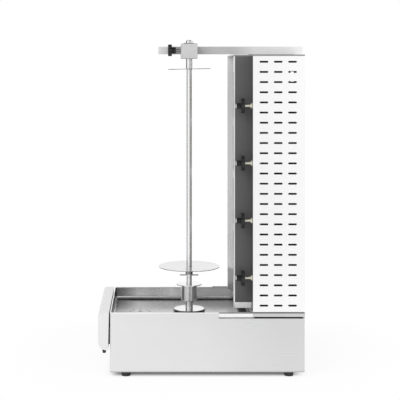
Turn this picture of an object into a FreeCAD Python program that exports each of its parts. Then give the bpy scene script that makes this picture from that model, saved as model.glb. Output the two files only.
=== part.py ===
import FreeCAD, Part
import math
import os

import Sketcher

# Counter-top doner kebab grill: a tray base with a fat drawer, a motor-driven
# vertical spit, and a gas burner tower that slides on the base. Millimetres,
# +Z up, the drawer faces -Y, the gas taps are on the +X side.

os.makedirs("parts", exist_ok=True)
doc = FreeCAD.newDocument("doner_grill")
sheet = doc.addObject("Spreadsheet::Sheet", "Sizes")
Vector = FreeCAD.Vector
PIECES = []
TAPS = []


class Size:
    """A driving or derived size: its number, and the sheet expression behind it."""

    def __init__(self, number, text):
        self.number = number
        self.text = text

    def __add__(self, other):
        return Size(self.number + number_of(other), f"({self.text} + {text_of(other)})")

    def __radd__(self, other):
        return Size(number_of(other) + self.number, f"({text_of(other)} + {self.text})")

    def __sub__(self, other):
        return Size(self.number - number_of(other), f"({self.text} - {text_of(other)})")

    def __rsub__(self, other):
        return Size(number_of(other) - self.number, f"({text_of(other)} - {self.text})")

    def __mul__(self, other):
        return Size(self.number * number_of(other), f"({self.text} * {text_of(other)})")

    __rmul__ = __mul__

    def __truediv__(self, other):
        return Size(self.number / number_of(other), f"({self.text} / {text_of(other)})")

    def __neg__(self):
        return Size(-self.number, f"(0 - {self.text})")


def number_of(value):
    return value.number if isinstance(value, Size) else float(value)


def text_of(value):
    return value.text if isinstance(value, Size) else f"({value!r})"


def size(name, number):
    """Write one driving size to the next row of the sheet, under its alias."""
    row = size.rows = getattr(size, "rows", 0) + 1
    sheet.set(f"A{row}", name)
    sheet.set(f"B{row}", repr(number))
    sheet.setAlias(f"B{row}", name)
    return Size(number, f"Sizes.{name}")


# Sheet metal and clearances
sheet_metal = size("sheet_metal", 1.5)
thin_sheet = size("thin_sheet", 1.2)
loose_gap = size("loose_gap", 0.3)
running_gap = size("running_gap", 0.05)

# Base
base_width = size("base_width", 416.0)
base_front = size("base_front", 296.5)
side_step = size("side_step", 2.0)
base_back = size("base_back", 310.0)
base_height = size("base_height", 184.0)
base_corner = size("base_corner", 4.0)
foot_height = size("foot_height", 14.0)
foot_radius = size("foot_radius", 15.5)
foot_taper = size("foot_taper", 1.5)
foot_side_inset = size("foot_side_inset", 18.0)
foot_front_inset = size("foot_front_inset", 50.0)
foot_back_inset = size("foot_back_inset", 48.0)
foot_screw_radius = size("foot_screw_radius", 2.5)
foot_screw_head = size("foot_screw_head", 5.0)
rail_height = size("rail_height", 13.0)
rail_front = size("rail_front", 43.0)
guide_slot = size("guide_slot", 5.5)
guide_slot_end = size("guide_slot_end", 6.0)

# Drip well sunk in the base top
rim = size("rim", 8.0)
well_depth = size("well_depth", 40.0)
well_back = size("well_back", 152.0)
well_corner = size("well_corner", 8.0)
well_flange = size("well_flange", 5.5)
drain_front = size("drain_front", 205.0)
drain_ring = size("drain_ring", 31.0)
drain_hole = size("drain_hole", 4.0)
drain_centre_hole = size("drain_centre_hole", 5.5)
drain_count = size("drain_count", 8)

# Fat drawer
drawer_face_bottom = size("drawer_face_bottom", 83.0)
drawer_face_top = size("drawer_face_top", 197.0)
drawer_face_depth = size("drawer_face_depth", 33.7)
drawer_gap = size("drawer_gap", 3.3)
drawer_lean = size("drawer_lean", 2.8)
drawer_lower_round = size("drawer_lower_round", 26.0)
drawer_upper_round = size("drawer_upper_round", 7.0)
drawer_window_margin = size("drawer_window_margin", 30.0)
pan_side_gap = size("pan_side_gap", 27.0)
pan_bottom = size("pan_bottom", 94.8)
pan_height = size("pan_height", 51.0)
pan_back = size("pan_back", 117.0)
pan_margin = size("pan_margin", 1.5)
bumper_radius = size("bumper_radius", 5.5)
bumper_height = size("bumper_height", 10.0)
bumper_inset = size("bumper_inset", 10.0)
bumper_back = size("bumper_back", 12.0)
runner_lip = size("runner_lip", 10.0)
runner_wall = size("runner_wall", 22.0)

# Spit drive and spit
spit_front = size("spit_front", 44.0)
flange_radius = size("flange_radius", 53.5)
flange_step = size("flange_step", 2.5)
flange_height = size("flange_height", 10.6)
flange_lip = size("flange_lip", 5.6)
spigot_radius = size("spigot_radius", 22.0)
spigot_depth = size("spigot_depth", 8.0)
bush_wall = size("bush_wall", 5.0)
shaft_radius = size("shaft_radius", 12.5)
shaft_stub_radius = size("shaft_stub_radius", 8.0)
shaft_stub = size("shaft_stub", 10.0)
gearbox_drop = size("gearbox_drop", 30.0)
gearbox_engagement = size("gearbox_engagement", 32.0)
socket_radius = size("socket_radius", 26.0)
socket_bottom = size("socket_bottom", 195.0)
socket_height = size("socket_height", 52.0)
socket_floor = size("socket_floor", 12.0)
plate_radius = size("plate_radius", 42.0)
plate_thickness = size("plate_thickness", 3.0)
rod_radius = size("rod_radius", 9.0)
rod_top = size("rod_top", 1053.0)
rod_chamfer = size("rod_chamfer", 1.5)
pin_height = size("pin_height", 278.0)
pin_radius = size("pin_radius", 2.25)
pin_length = size("pin_length", 61.0)
meat_disc_radius = size("meat_disc_radius", 100.0)
meat_disc_height = size("meat_disc_height", 306.0)
hub_wall = size("hub_wall", 2.7)
disc_thickness = size("disc_thickness", 2.0)
top_disc_radius = size("top_disc_radius", 71.0)
top_disc_height = size("top_disc_height", 956.6)
top_disc_tilt = size("top_disc_tilt", 1.2)
journal_wall = size("journal_wall", 2.0)
journal_bottom = size("journal_bottom", 960.0)
journal_short = size("journal_short", 2.0)

# Gear motor under the well
gearbox_width = size("gearbox_width", 84.0)
gearbox_depth = size("gearbox_depth", 84.0)
gearbox_height = size("gearbox_height", 58.0)
gearbox_boss = size("gearbox_boss", 20.0)
gearbox_corner = size("gearbox_corner", 5.0)
motor_edge = size("motor_edge", 4.0)
boss_height = size("boss_height", 4.0)
motor_radius = size("motor_radius", 30.0)
motor_length = size("motor_length", 92.0)
bracket_width = size("bracket_width", 120.0)
bracket_foot = size("bracket_foot", 22.0)

# Switch and cable inlet
switch_from_front = size("switch_from_front", 90.0)
switch_height = size("switch_height", 70.0)
switch_width = size("switch_width", 30.0)
switch_tall = size("switch_tall", 22.0)
switch_frame = size("switch_frame", 2.0)
switch_depth = size("switch_depth", 24.0)
rocker_gap = size("rocker_gap", 1.0)
rocker_depth = size("rocker_depth", 2.0)
rocker_dip = size("rocker_dip", 0.4)
rocker_pivot = size("rocker_pivot", 2.0)
gland_side = size("gland_side", 120.0)
gland_height = size("gland_height", 60.0)
gland_radius = size("gland_radius", 10.0)
gland_bore = size("gland_bore", 4.2)
gland_stub = size("gland_stub", 18.0)

# Burner tower on its carriage
tower_front = size("tower_front", 148.6)
tower_back = size("tower_back", 310.0)
tower_top = size("tower_top", 998.0)
carriage_sheet = size("carriage_sheet", 2.0)
carriage_inset = size("carriage_inset", 4.0)
bolt_side = size("bolt_side", 120.0)
bolt_back = size("bolt_back", 290.0)
bolt_pitch = size("bolt_pitch", 75.0)
bolt_radius = size("bolt_radius", 4.0)
bolt_head = size("bolt_head", 6.5)
bolt_head_height = size("bolt_head_height", 5.5)
washer_radius = size("washer_radius", 9.0)
tower_travel = size("tower_travel", 40.0)
back_flange = size("back_flange", 18.0)
slot_length = size("slot_length", 26.7)
slot_width = size("slot_width", 6.0)
slot_first_row = size("slot_first_row", 221.7)
slot_row_pitch = size("slot_row_pitch", 31.6)
slot_rows = size("slot_rows", 25)
slot_first_column = size("slot_first_column", 182.5)
slot_column_pitch = size("slot_column_pitch", 44.5)
slot_columns = 3
cover_height = size("cover_height", 4.8)
arm_bed_height = size("arm_bed_height", 3.7)
arm_bed_inset = size("arm_bed_inset", 6.0)
vent_length = size("vent_length", 90.0)
vent_rows = size("vent_rows", 6)
vent_pitch = size("vent_pitch", 14.0)
vent_first = size("vent_first", 890.0)
vent_side = size("vent_side", 95.0)

# Burner box in the front of the tower
box_width = size("box_width", 300.0)
box_front = size("box_front", 92.0)
box_bottom = size("box_bottom", 202.0)
sill_height = size("sill_height", 17.8)
panel_tail = size("panel_tail", 151.5)
hem = size("hem", 5.0)
reflector_back = size("reflector_back", 110.0)
reflector_root = size("reflector_root", 232.0)
burner_first = size("burner_first", 332.0)
burner_pitch = size("burner_pitch", 180.0)
burner_count = 4
window_width = size("window_width", 200.0)
window_height = size("window_height", 148.0)
tile_lap = size("tile_lap", 3.0)
tile_depth = size("tile_depth", 12.0)
tiles_per_burner = 2
case_width = size("case_width", 222.0)
case_height = size("case_height", 168.0)
case_depth = size("case_depth", 38.0)
plenum_margin = size("plenum_margin", 18.0)
mixer_radius = size("mixer_radius", 15.0)
mixer_flare = size("mixer_flare", 4.0)
mixer_flare_length = size("mixer_flare_length", 16.0)
mixer_back = size("mixer_back", 172.0)
mixer_mouth = size("mixer_mouth", 146.0)
mixer_end = size("mixer_end", 90.0)
mixer_throat = size("mixer_throat", 60.0)
guard_thickness = size("guard_thickness", 1.6)
guard_border = size("guard_border", 5.0)
guard_bar = size("guard_bar", 3.0)
guard_columns = 5
guard_rows = 3

# Gas train
tap_inset = size("tap_inset", 30.0)
tap_first = size("tap_first", 302.0)
bonnet_radius = size("bonnet_radius", 6.5)
bonnet_front = size("bonnet_front", 143.6)
nut_radius = size("nut_radius", 8.5)
nut_height = size("nut_height", 3.0)
tap_block = size("tap_block", 22.0)
tap_block_back = size("tap_block_back", 176.0)
stem_radius = size("stem_radius", 3.5)
stem_front = size("stem_front", 108.0)
stem_back = size("stem_back", 156.0)
push_travel = size("push_travel", 5.0)
jet_radius = size("jet_radius", 4.5)
jet_tip = size("jet_tip", 2.0)
jet_end = size("jet_end", 152.0)
manifold_back = size("manifold_back", 190.0)
manifold_radius = size("manifold_radius", 10.0)
manifold_bottom = size("manifold_bottom", 245.0)
manifold_over = size("manifold_over", 22.0)
elbow_radius = size("elbow_radius", 15.0)
elbow_height = size("elbow_height", 26.0)
branch_radius = size("branch_radius", 8.0)
inlet_radius = size("inlet_radius", 10.48)
inlet_length = size("inlet_length", 19.5)
inlet_side = size("inlet_side", 0.0)
inlet_bore = size("inlet_bore", 6.5)
inlet_collar = size("inlet_collar", 14.0)
inlet_collar_inside = size("inlet_collar_inside", 10.0)
inlet_collar_outside = size("inlet_collar_outside", 1.5)

# Gas tap knobs
knob_radius = size("knob_radius", 24.0)
knob_front = size("knob_front", 114.0)
knob_back = size("knob_back", 124.5)
grip_radius = size("grip_radius", 8.5)
grip_front = size("grip_front", 98.0)
knob_wall = size("knob_wall", 3.0)
knob_edge = size("knob_edge", 1.5)
knob_lobes = size("knob_lobes", 6)
knob_bite = size("knob_bite", 8.0)
knob_bite_radius = size("knob_bite_radius", 7.0)

# Arm, clamp block and its knob
arm_size = size("arm_size", 25.4)
arm_wall = size("arm_wall", 1.5)
arm_side = size("arm_side", 34.0)
arm_front = size("arm_front", 144.0)
arm_back = size("arm_back", 325.5)
cap_head = size("cap_head", 8.0)
cap_plug = size("cap_plug", 12.0)
block_front = size("block_front", 71.0)
block_depth = size("block_depth", 54.0)
block_bottom = size("block_bottom", 991.5)
block_height = size("block_height", 50.0)
block_wall = size("block_wall", 6.0)
block_right = size("block_right", 24.0)
block_edge = size("block_edge", 1.5)
spit_bush_wall = size("spit_bush_wall", 3.5)
spit_bush_lip = size("spit_bush_lip", 3.0)
spit_bush_lip_height = size("spit_bush_lip_height", 2.0)
set_screw_radius = size("set_screw_radius", 4.0)
set_screw_length = size("set_screw_length", 9.0)
lock_stud_radius = size("lock_stud_radius", 5.0)
lock_hub_radius = size("lock_hub_radius", 10.5)
lock_hub_length = size("lock_hub_length", 13.0)
lock_disc_radius = size("lock_disc_radius", 19.2)
lock_disc_depth = size("lock_disc_depth", 12.5)
lock_lobes = size("lock_lobes", 8)
lock_bite = size("lock_bite", 2.5)
lock_bite_radius = size("lock_bite_radius", 6.0)
lock_stand_off = size("lock_stand_off", 17.0)
lock_stud_bite = size("lock_stud_bite", 6.0)
arm_screw_radius = size("arm_screw_radius", 3.0)
arm_screw_head = size("arm_screw_head", 5.0)
arm_screw_pitch = size("arm_screw_pitch", 110.0)
arm_screw_front = size("arm_screw_front", 172.0)

doc.recompute()

# Places that several pieces share
half_base = base_width / 2
half_tower = half_base + side_step
half_drawer = half_base + side_step
well_front = base_front - sheet_metal - thin_sheet
half_box = box_width / 2
tap_side = half_tower - tap_inset
base_top = foot_height + base_height
well_floor = base_top - well_depth
well_underside = well_floor - thin_sheet
well_half = half_base - rim
deck_underside = base_top - sheet_metal
rail_top = base_top + sheet_metal
rail_bottom = rail_top - rail_height
carriage_bottom = rail_top + loose_gap
tower_bottom = carriage_bottom + carriage_sheet
flange_top = well_floor + flange_height
bush_outer = shaft_radius + running_gap + bush_wall
gearbox_top = well_underside - gearbox_drop
rod_bottom = socket_bottom + socket_floor
journal_radius = rod_radius + journal_wall
sill_top = box_bottom + sill_height
cover_top = tower_top + cover_height
arm_bottom = cover_top + arm_bed_height
arm_axis = arm_bottom + arm_size / 2
half_pan = half_base - pan_side_gap
pan_top = pan_bottom + pan_height
drawer_height = drawer_face_top - drawer_face_bottom


# Building blocks: bindings, sketches and features

TURNS = {
    "+Z": FreeCAD.Rotation(),
    "+X": FreeCAD.Rotation(Vector(0, 0, 1), Vector(1, 0, 0)),
    "-X": FreeCAD.Rotation(Vector(0, 0, 1), Vector(-1, 0, 0)),
    "+Y": FreeCAD.Rotation(Vector(1, 0, 0), -90),
    "-Y": FreeCAD.Rotation(Vector(1, 0, 0), 90),
}


def bind(item, field, value):
    item.setExpression(field, text_of(value))


def place(item, x, y, z, axis="+Z"):
    """Stand an object at a point, with its own Z along the named axis."""
    item.Placement = FreeCAD.Placement(Vector(), TURNS[axis])
    for field, value in zip("xyz", (x, y, z)):
        bind(item, f"Placement.Base.{field}", value)
    return item


def keep(item, label):
    """Register a finished sub-part under its node name."""
    item.Label = label
    PIECES.append(item)
    return item


def box(name, low, high):
    item = doc.addObject("Part::Box", name)
    for field, start, end in zip(("Length", "Width", "Height"), low, high):
        bind(item, field, end - start)
    return place(item, *low)


def rod(name, radius, start, length, axis="+Z"):
    item = doc.addObject("Part::Cylinder", name)
    bind(item, "Radius", radius)
    bind(item, "Height", length)
    return place(item, *start, axis)


def cone(name, radius, end_radius, start, length, axis="+Z"):
    item = doc.addObject("Part::Cone", name)
    bind(item, "Radius1", radius)
    bind(item, "Radius2", end_radius)
    bind(item, "Height", length)
    return place(item, *start, axis)


def fuse(name, *shapes):
    item = doc.addObject("Part::MultiFuse", name)
    item.Shapes = list(shapes)
    item.Refine = True
    return item


def cut(name, base, *tools):
    item = doc.addObject("Part::Cut", name)
    item.Base = base
    item.Tool = tools[0] if len(tools) == 1 else fuse(f"{name}_tools", *tools)
    return item


def group(name, *solids):
    item = doc.addObject("Part::Compound", name)
    item.Links = list(solids)
    return item


def origin_part(body, role):
    return next(part for part in body.Origin.OriginFeatures if part.Role == role)


def new_body(name):
    return doc.addObject("PartDesign::Body", f"{name}_body")


def new_sketch(body, role, offset=0):
    """A sketch on one of the body's own origin planes, moved along its normal."""
    sketch = body.newObject("Sketcher::SketchObject", f"{body.Name}_sketch")
    sketch.AttachmentSupport = (origin_part(body, role), [""])
    sketch.MapMode = "FlatFace"
    bind(sketch, "AttachmentOffset.Base.z", offset)
    return sketch


def fix_point(sketch, line, end, point):
    """Tie one end of a sketch element to a place measured from the origin."""
    for kind, value in zip(("DistanceX", "DistanceY"), point):
        fixed = Sketcher.Constraint(kind, -1, 1, line, end, number_of(value))
        index = sketch.addConstraint(fixed)
        bind(sketch, f"Constraints[{index}]", value)


def outline(sketch, points):
    """A closed outline of straight lines through the given points."""
    flat = [Vector(number_of(x), number_of(y), 0) for x, y in points]
    first = sketch.GeometryCount
    count = len(points)
    for index in range(count):
        line = Part.LineSegment(flat[index], flat[(index + 1) % count])
        sketch.addGeometry(line, False)
    for index in range(count):
        follower = first + (index + 1) % count
        sketch.addConstraint(Sketcher.Constraint("Coincident", first + index, 2, follower, 1))
    for index, point in enumerate(points):
        fix_point(sketch, first + index, 1, point)


def rectangle(sketch, left, right, low, high):
    outline(sketch, [(left, low), (right, low), (right, high), (left, high)])


def circle(sketch, x, y, radius):
    centre = Vector(number_of(x), number_of(y), 0)
    line = sketch.addGeometry(Part.Circle(centre, Vector(0, 0, 1), number_of(radius)), False)
    index = sketch.addConstraint(Sketcher.Constraint("Radius", line, number_of(radius)))
    bind(sketch, f"Constraints[{index}]", radius)
    fix_point(sketch, line, 3, (x, y))


def bevel_slot(sketch, x, y, length, width):
    """A slot along the sketch's own X, its ends bevelled on both corners."""
    reach = length / 2
    half = width / 2
    bevel = width * 0.3
    outline(sketch, [
        (x - reach, y - half + bevel), (x - reach + bevel, y - half), (x + reach - bevel, y - half),
        (x + reach, y - half + bevel), (x + reach, y + half - bevel), (x + reach - bevel, y + half),
        (x - reach + bevel, y + half), (x - reach, y + half - bevel),
    ])


def pad(body, sketch, length):
    feature = body.newObject("PartDesign::Pad", f"{body.Name}_pad")
    feature.Profile = sketch
    bind(feature, "Length", length)
    return feature


def pocket(body, sketch, length, forward=False):
    """Cut along the sketch's normal (forward) or against it."""
    feature = body.newObject("PartDesign::Pocket", f"{body.Name}_pocket")
    feature.Profile = sketch
    feature.Reversed = forward
    bind(feature, "Length", length)
    return feature


def revolve(body, sketch):
    feature = body.newObject("PartDesign::Revolution", f"{body.Name}_turn")
    feature.Profile = sketch
    feature.ReferenceAxis = (sketch, ["V_Axis"])
    feature.Angle = 360
    return feature


def row_of(body, feature, axis, pitch, count):
    """Repeat a feature in a row along one of the body's axes."""
    pattern = body.newObject("PartDesign::LinearPattern", f"{feature.Name}_row")
    pattern.Originals = [feature]
    pattern.Direction = (origin_part(body, axis), [""])
    pattern.Mode = "Spacing"
    bind(pattern, "Offset", pitch)
    bind(pattern, "Occurrences", count)
    body.Tip = pattern
    return pattern


def ring_of(body, feature, count, axis="Z_Axis"):
    """Repeat a feature evenly round one of the body's axes."""
    pattern = body.newObject("PartDesign::PolarPattern", f"{feature.Name}_ring")
    pattern.Originals = [feature]
    pattern.Axis = (origin_part(body, axis), [""])
    pattern.Angle = 360
    bind(pattern, "Occurrences", count)
    body.Tip = pattern
    return pattern


def edge_names(shape, wanted):
    return [f"Edge{index + 1}" for index, edge in enumerate(shape.Edges) if wanted(edge)]


def soften(body, kind, field, wanted, amount):
    """Treat every edge of the body so far for which wanted(edge) holds."""
    doc.recompute()
    base = body.Tip
    names = edge_names(base.Shape, wanted)
    feature = body.newObject(f"PartDesign::{kind}", f"{body.Name}_{kind.lower()}")
    feature.Base = (base, names)
    bind(feature, field, amount)
    body.Tip = feature
    return feature


def fillet(body, wanted, radius):
    """Round every edge of the body so far for which wanted(edge) holds."""
    return soften(body, "Fillet", "Radius", wanted, radius)


def chamfer(body, wanted, width):
    """Bevel every edge of the body so far for which wanted(edge) holds."""
    return soften(body, "Chamfer", "Size", wanted, width)


def is_line_along(edge, axis):
    """True for a straight edge parallel to the axis."""
    if edge.Curve.TypeId != "Part::GeomLine":
        return False
    return abs(abs(edge.Curve.Direction.dot(axis)) - 1) < 1e-6


def is_upright(edge):
    return is_line_along(edge, Vector(0, 0, 1))


def is_circle_at(edge, radius, height):
    """True for a circle of the radius, in the plane z = height of the body."""
    if edge.Curve.TypeId != "Part::GeomCircle":
        return False
    same_radius = abs(edge.Curve.Radius - number_of(radius)) < 1e-3
    return same_radius and abs(edge.Curve.Center.z - number_of(height)) < 1e-3


def turned(name, points, start, axis="+Z"):
    """A turned piece: radius and height points, revolved, standing at start."""
    body = new_body(name)
    sketch = new_sketch(body, "XZ_Plane")
    outline(sketch, points)
    revolve(body, sketch)
    return place(body, *start, axis)


def ring(name, inner, outer, start, length, axis="+Z"):
    points = [(inner, 0), (outer, 0), (outer, length), (inner, length)]
    return turned(name, points, start, axis)


def plate(name, rectangle_sides, bottom, thickness):
    """A flat rectangular body, its sketch on the ground plane."""
    body = new_body(name)
    sketch = new_sketch(body, "XY_Plane", bottom)
    rectangle(sketch, *rectangle_sides)
    pad(body, sketch, thickness)
    return body


# Base: shell, drip well, bottom, feet and rails

def make_base_shell():
    """Folded outer skin: four walls, a rim round the well, a deck behind it."""
    body = plate("base_shell", (-half_base, half_base, -base_front, base_back),
                 foot_height, base_height)
    fillet(body, is_upright, base_corner)
    hollow = new_sketch(body, "XY_Plane", foot_height)
    inner = half_base - sheet_metal
    rectangle(hollow, -inner, inner, sheet_metal - base_front, base_back - sheet_metal)
    pocket(body, hollow, base_height - sheet_metal, forward=True)
    mouth = new_sketch(body, "XY_Plane", deck_underside)
    rectangle(mouth, -well_half, well_half, -well_front, well_back)
    pocket(body, mouth, sheet_metal, forward=True)
    bay = new_sketch(body, "XZ_Plane", base_front)
    rectangle(bay, -half_pan - pan_margin, half_pan + pan_margin,
              pan_bottom - pan_margin, pan_top + pan_margin)
    pocket(body, bay, sheet_metal)
    slots = new_sketch(body, "XY_Plane", deck_underside)
    width = bolt_radius * 2 + loose_gap * 2
    for side in (-1, 1):
        for row in (0, 1):
            centre = bolt_back - bolt_pitch * row - tower_travel / 2
            rectangle(slots, bolt_side * side - width / 2, bolt_side * side + width / 2,
                      centre - tower_travel / 2 - width / 2, centre + tower_travel / 2 + width / 2)
    pocket(body, slots, sheet_metal, forward=True)
    gland_hole = new_sketch(body, "XZ_Plane", -base_back)
    circle(gland_hole, -gland_side, gland_height, gland_radius)
    pocket(body, gland_hole, sheet_metal, forward=True)
    switch_hole = new_sketch(body, "YZ_Plane", -half_base)
    centre = switch_from_front - base_front
    rectangle(switch_hole, centre - switch_width / 2, centre + switch_width / 2,
              switch_height - switch_tall / 2, switch_height + switch_tall / 2)
    pocket(body, switch_hole, sheet_metal, forward=True)
    for side in (-1, 1):
        guide = new_sketch(body, "YZ_Plane", half_base * side)
        rectangle(guide, rail_front, base_back - guide_slot_end, rail_bottom - guide_slot, rail_bottom)
        pocket(body, guide, sheet_metal, forward=side < 0)
    keep(body, "base_shell")


def make_drip_well():
    """Pan hung under the rim, with drain holes over the drawer and a shaft hole."""
    body = plate("drip_well",
                 (-well_half - thin_sheet, well_half + thin_sheet,
                  -well_front - thin_sheet, well_back + thin_sheet),
                 well_underside, deck_underside - well_underside)
    flange = new_sketch(body, "XY_Plane", deck_underside - thin_sheet)
    rectangle(flange, -well_half - well_flange, well_half + well_flange,
              -well_front - thin_sheet, well_back + well_flange)
    pad(body, flange, thin_sheet)
    hollow = new_sketch(body, "XY_Plane", well_floor)
    rectangle(hollow, -well_half, well_half, -well_front, well_back)
    pocket(body, hollow, deck_underside - well_floor, forward=True)

    def inner_corner(edge):
        middle = edge.CenterOfMass
        return is_upright(edge) and abs(abs(middle.x) - well_half.number) < 1e-3

    fillet(body, inner_corner, well_corner)
    centre_hole = new_sketch(body, "XY_Plane", well_underside)
    circle(centre_hole, 0, -drain_front, drain_centre_hole)
    circle(centre_hole, 0, -spit_front, spigot_radius)
    pocket(body, centre_hole, thin_sheet, forward=True)
    drains = new_sketch(body, "XY_Plane", well_underside)
    for index in range(int(drain_count.number)):
        turn = 2 * math.pi * index / int(drain_count.number)
        circle(drains, drain_ring * math.cos(turn), drain_ring * math.sin(turn) - drain_front, drain_hole)
    pocket(body, drains, thin_sheet, forward=True)
    keep(body, "drip_well")


def foot_places():
    x = half_base - foot_side_inset
    for y in (foot_front_inset - base_front, base_back - foot_back_inset):
        for side in (-1, 1):
            yield x * side, y


def make_base_bottom():
    """Bottom plate inside the walls, with foot holes and cooling slots."""
    inner = half_base - sheet_metal
    body = plate("base_bottom", (-inner, inner, sheet_metal - base_front, base_back - sheet_metal),
                 foot_height, sheet_metal)
    holes = new_sketch(body, "XY_Plane", foot_height)
    for x, y in foot_places():
        circle(holes, x, y, foot_screw_radius)
    pocket(body, holes, sheet_metal, forward=True)
    vents = new_sketch(body, "XY_Plane", foot_height)
    bevel_slot(vents, 0, motor_length, vent_length, slot_width)
    feature = pocket(body, vents, sheet_metal, forward=True)
    row_of(body, feature, "Y_Axis", vent_pitch, vent_rows)
    keep(body, "base_bottom")


def make_feet():
    feet = []
    screws = []
    inner = foot_screw_radius
    sunk = foot_height / 2
    for index, (x, y) in enumerate(foot_places()):
        profile = [
            (inner, sunk), (foot_screw_head + loose_gap, sunk), (foot_screw_head + loose_gap, 0),
            (foot_radius - foot_taper, 0), (foot_radius, foot_height), (inner, foot_height),
        ]
        feet.append(turned(f"foot_{index}", profile, (x, y, 0)))
        screw = [
            (0, sunk - 3), (foot_screw_head, sunk - 3), (foot_screw_head, sunk), (inner, sunk),
            (inner, foot_height + sheet_metal * 4), (0, foot_height + sheet_metal * 4),
        ]
        screws.append(turned(f"foot_screw_{index}", screw, (x, y, 0)))
    keep(group("feet_group", *feet), "rubber_feet")
    keep(group("foot_screw_group", *screws), "foot_screws")


def make_rails():
    """Angle strips over the side rims, on which the tower slides."""
    rails = []
    for side in (-1, 1):
        body = new_body("rail")
        sketch = new_sketch(body, "XZ_Plane", -base_back)
        outer = half_base + sheet_metal
        points = [
            (outer * side, rail_bottom), (outer * side, rail_top),
            (well_half * side, rail_top), (well_half * side, base_top),
            (half_base * side, base_top), (half_base * side, rail_bottom),
        ]
        outline(sketch, points)
        pad(body, sketch, base_back - rail_front)
        rails.append(body)
    keep(group("rail_group", *rails), "slide_rails")


# Fat drawer

def drawer_back_at(height):
    """Y of the drawer face's leaning back skin at a height."""
    share = (drawer_face_top - height) / drawer_height
    return -base_front - drawer_gap - drawer_lean * share


def make_drawer_front():
    """Hollow folded front with a rounded lower edge; its back skin leans."""
    half = half_drawer
    front = -base_front - drawer_gap - drawer_face_depth
    body = new_body("drawer_front")
    sketch = new_sketch(body, "YZ_Plane", -half)
    outline(sketch, [
        (front, drawer_face_bottom), (drawer_back_at(drawer_face_bottom), drawer_face_bottom),
        (drawer_back_at(drawer_face_top), drawer_face_top), (front, drawer_face_top),
    ])
    pad(body, sketch, half * 2)

    def front_edge(height):
        def wanted(edge):
            middle = edge.CenterOfMass
            level = abs(middle.z - height.number) < 1e-3 and abs(middle.y - front.number) < 1e-3
            return level and is_line_along(edge, Vector(1, 0, 0))
        return wanted

    fillet(body, front_edge(drawer_face_bottom), drawer_lower_round)
    fillet(body, front_edge(drawer_face_top), drawer_upper_round)
    skin = sheet_metal
    hollow = new_sketch(body, "YZ_Plane", skin - half)
    cut_corner = drawer_lower_round * (1 - math.sqrt(0.5)) * 2 - skin * (math.sqrt(2) - 1) + skin
    top_corner = drawer_upper_round
    outline(hollow, [
        (front + cut_corner, drawer_face_bottom + skin),
        (drawer_back_at(drawer_face_bottom) - skin, drawer_face_bottom + skin),
        (drawer_back_at(drawer_face_top) - skin, drawer_face_top - skin),
        (front + top_corner, drawer_face_top - skin),
        (front + skin, drawer_face_top - top_corner),
        (front + skin, drawer_face_bottom + cut_corner),
    ])
    pocket(body, hollow, (half - skin) * 2, forward=True)
    window = new_sketch(body, "XZ_Plane", base_front)
    margin = drawer_window_margin
    rectangle(window, margin - half_pan, half_pan - margin,
              pan_bottom + thin_sheet * 2, pan_top - thin_sheet * 2)
    pocket(body, window, drawer_gap + drawer_lean + skin * 3, forward=False)
    body.Tip.Reversed = True
    keep(body, "drawer_front")


def make_drawer_pan():
    """Open pan whose front wall leans like the face it is fixed to."""
    body = new_body("drawer_pan")
    sketch = new_sketch(body, "YZ_Plane", -half_pan)
    outline(sketch, [
        (drawer_back_at(pan_bottom), pan_bottom), (-pan_back, pan_bottom),
        (-pan_back, pan_top), (drawer_back_at(pan_top), pan_top),
    ])
    pad(body, sketch, half_pan * 2)
    hollow = new_sketch(body, "YZ_Plane", thin_sheet - half_pan)
    floor = pan_bottom + thin_sheet
    above = pan_top + thin_sheet
    outline(hollow, [
        (drawer_back_at(floor) + thin_sheet, floor), (-pan_back - thin_sheet, floor),
        (-pan_back - thin_sheet, above), (drawer_back_at(above) + thin_sheet, above),
    ])
    pocket(body, hollow, (half_pan - thin_sheet) * 2, forward=True)
    keep(body, "drawer_pan")


def make_drawer_bumpers():
    bumpers = []
    y = -base_front - drawer_gap - drawer_lean - bumper_back
    for side in (-1, 1):
        start = ((half_drawer - bumper_inset) * side, y, drawer_face_bottom)
        profile = [(0, 0), (bumper_radius, 0), (bumper_radius, bumper_height - 1),
                   (bumper_radius - 1, bumper_height), (0, bumper_height)]
        bumper = turned("bumper", profile, start)
        bumper.Placement.Rotation = FreeCAD.Rotation(Vector(1, 0, 0), 180)
        bumpers.append(bumper)
    keep(group("bumper_group", *bumpers), "drawer_bumpers")


def make_drawer_runners():
    """Angle runners on the side walls, under the pan's long edges."""
    runners = []
    wall = half_base - sheet_metal
    low = pan_bottom - loose_gap - sheet_metal
    for side in (-1, 1):
        body = new_body("runner")
        sketch = new_sketch(body, "XZ_Plane", pan_back)
        outline(sketch, [
            (wall * side, low), ((half_pan - runner_lip) * side, low),
            ((half_pan - runner_lip) * side, low + sheet_metal),
            ((wall - sheet_metal) * side, low + sheet_metal),
            ((wall - sheet_metal) * side, low + runner_wall), (wall * side, low + runner_wall),
        ])
        pad(body, sketch, base_front - sheet_metal - pan_back)
        runners.append(body)
    keep(group("runner_group", *runners), "drawer_runners")


# Spit drive

def make_bearing():
    """Bearing flange on the well floor, with its bush."""
    at = (0, -spit_front, well_floor)
    lower = flange_radius - flange_step
    lip_bottom = flange_height - flange_lip
    spigot = spigot_radius - loose_gap
    profile = [
        (bush_outer, -spigot_depth), (spigot, -spigot_depth), (spigot, 0), (lower, 0),
        (lower, lip_bottom), (flange_radius, lip_bottom), (flange_radius, flange_height - 1),
        (flange_radius - 1, flange_height), (bush_outer, flange_height),
    ]
    keep(turned("bearing_flange", profile, at), "bearing_flange")
    start = (0, -spit_front, well_floor - spigot_depth)
    bush = ring("shaft_bush", shaft_radius + running_gap, bush_outer, start,
                spigot_depth + flange_height)
    keep(bush, "shaft_bush")


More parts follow.
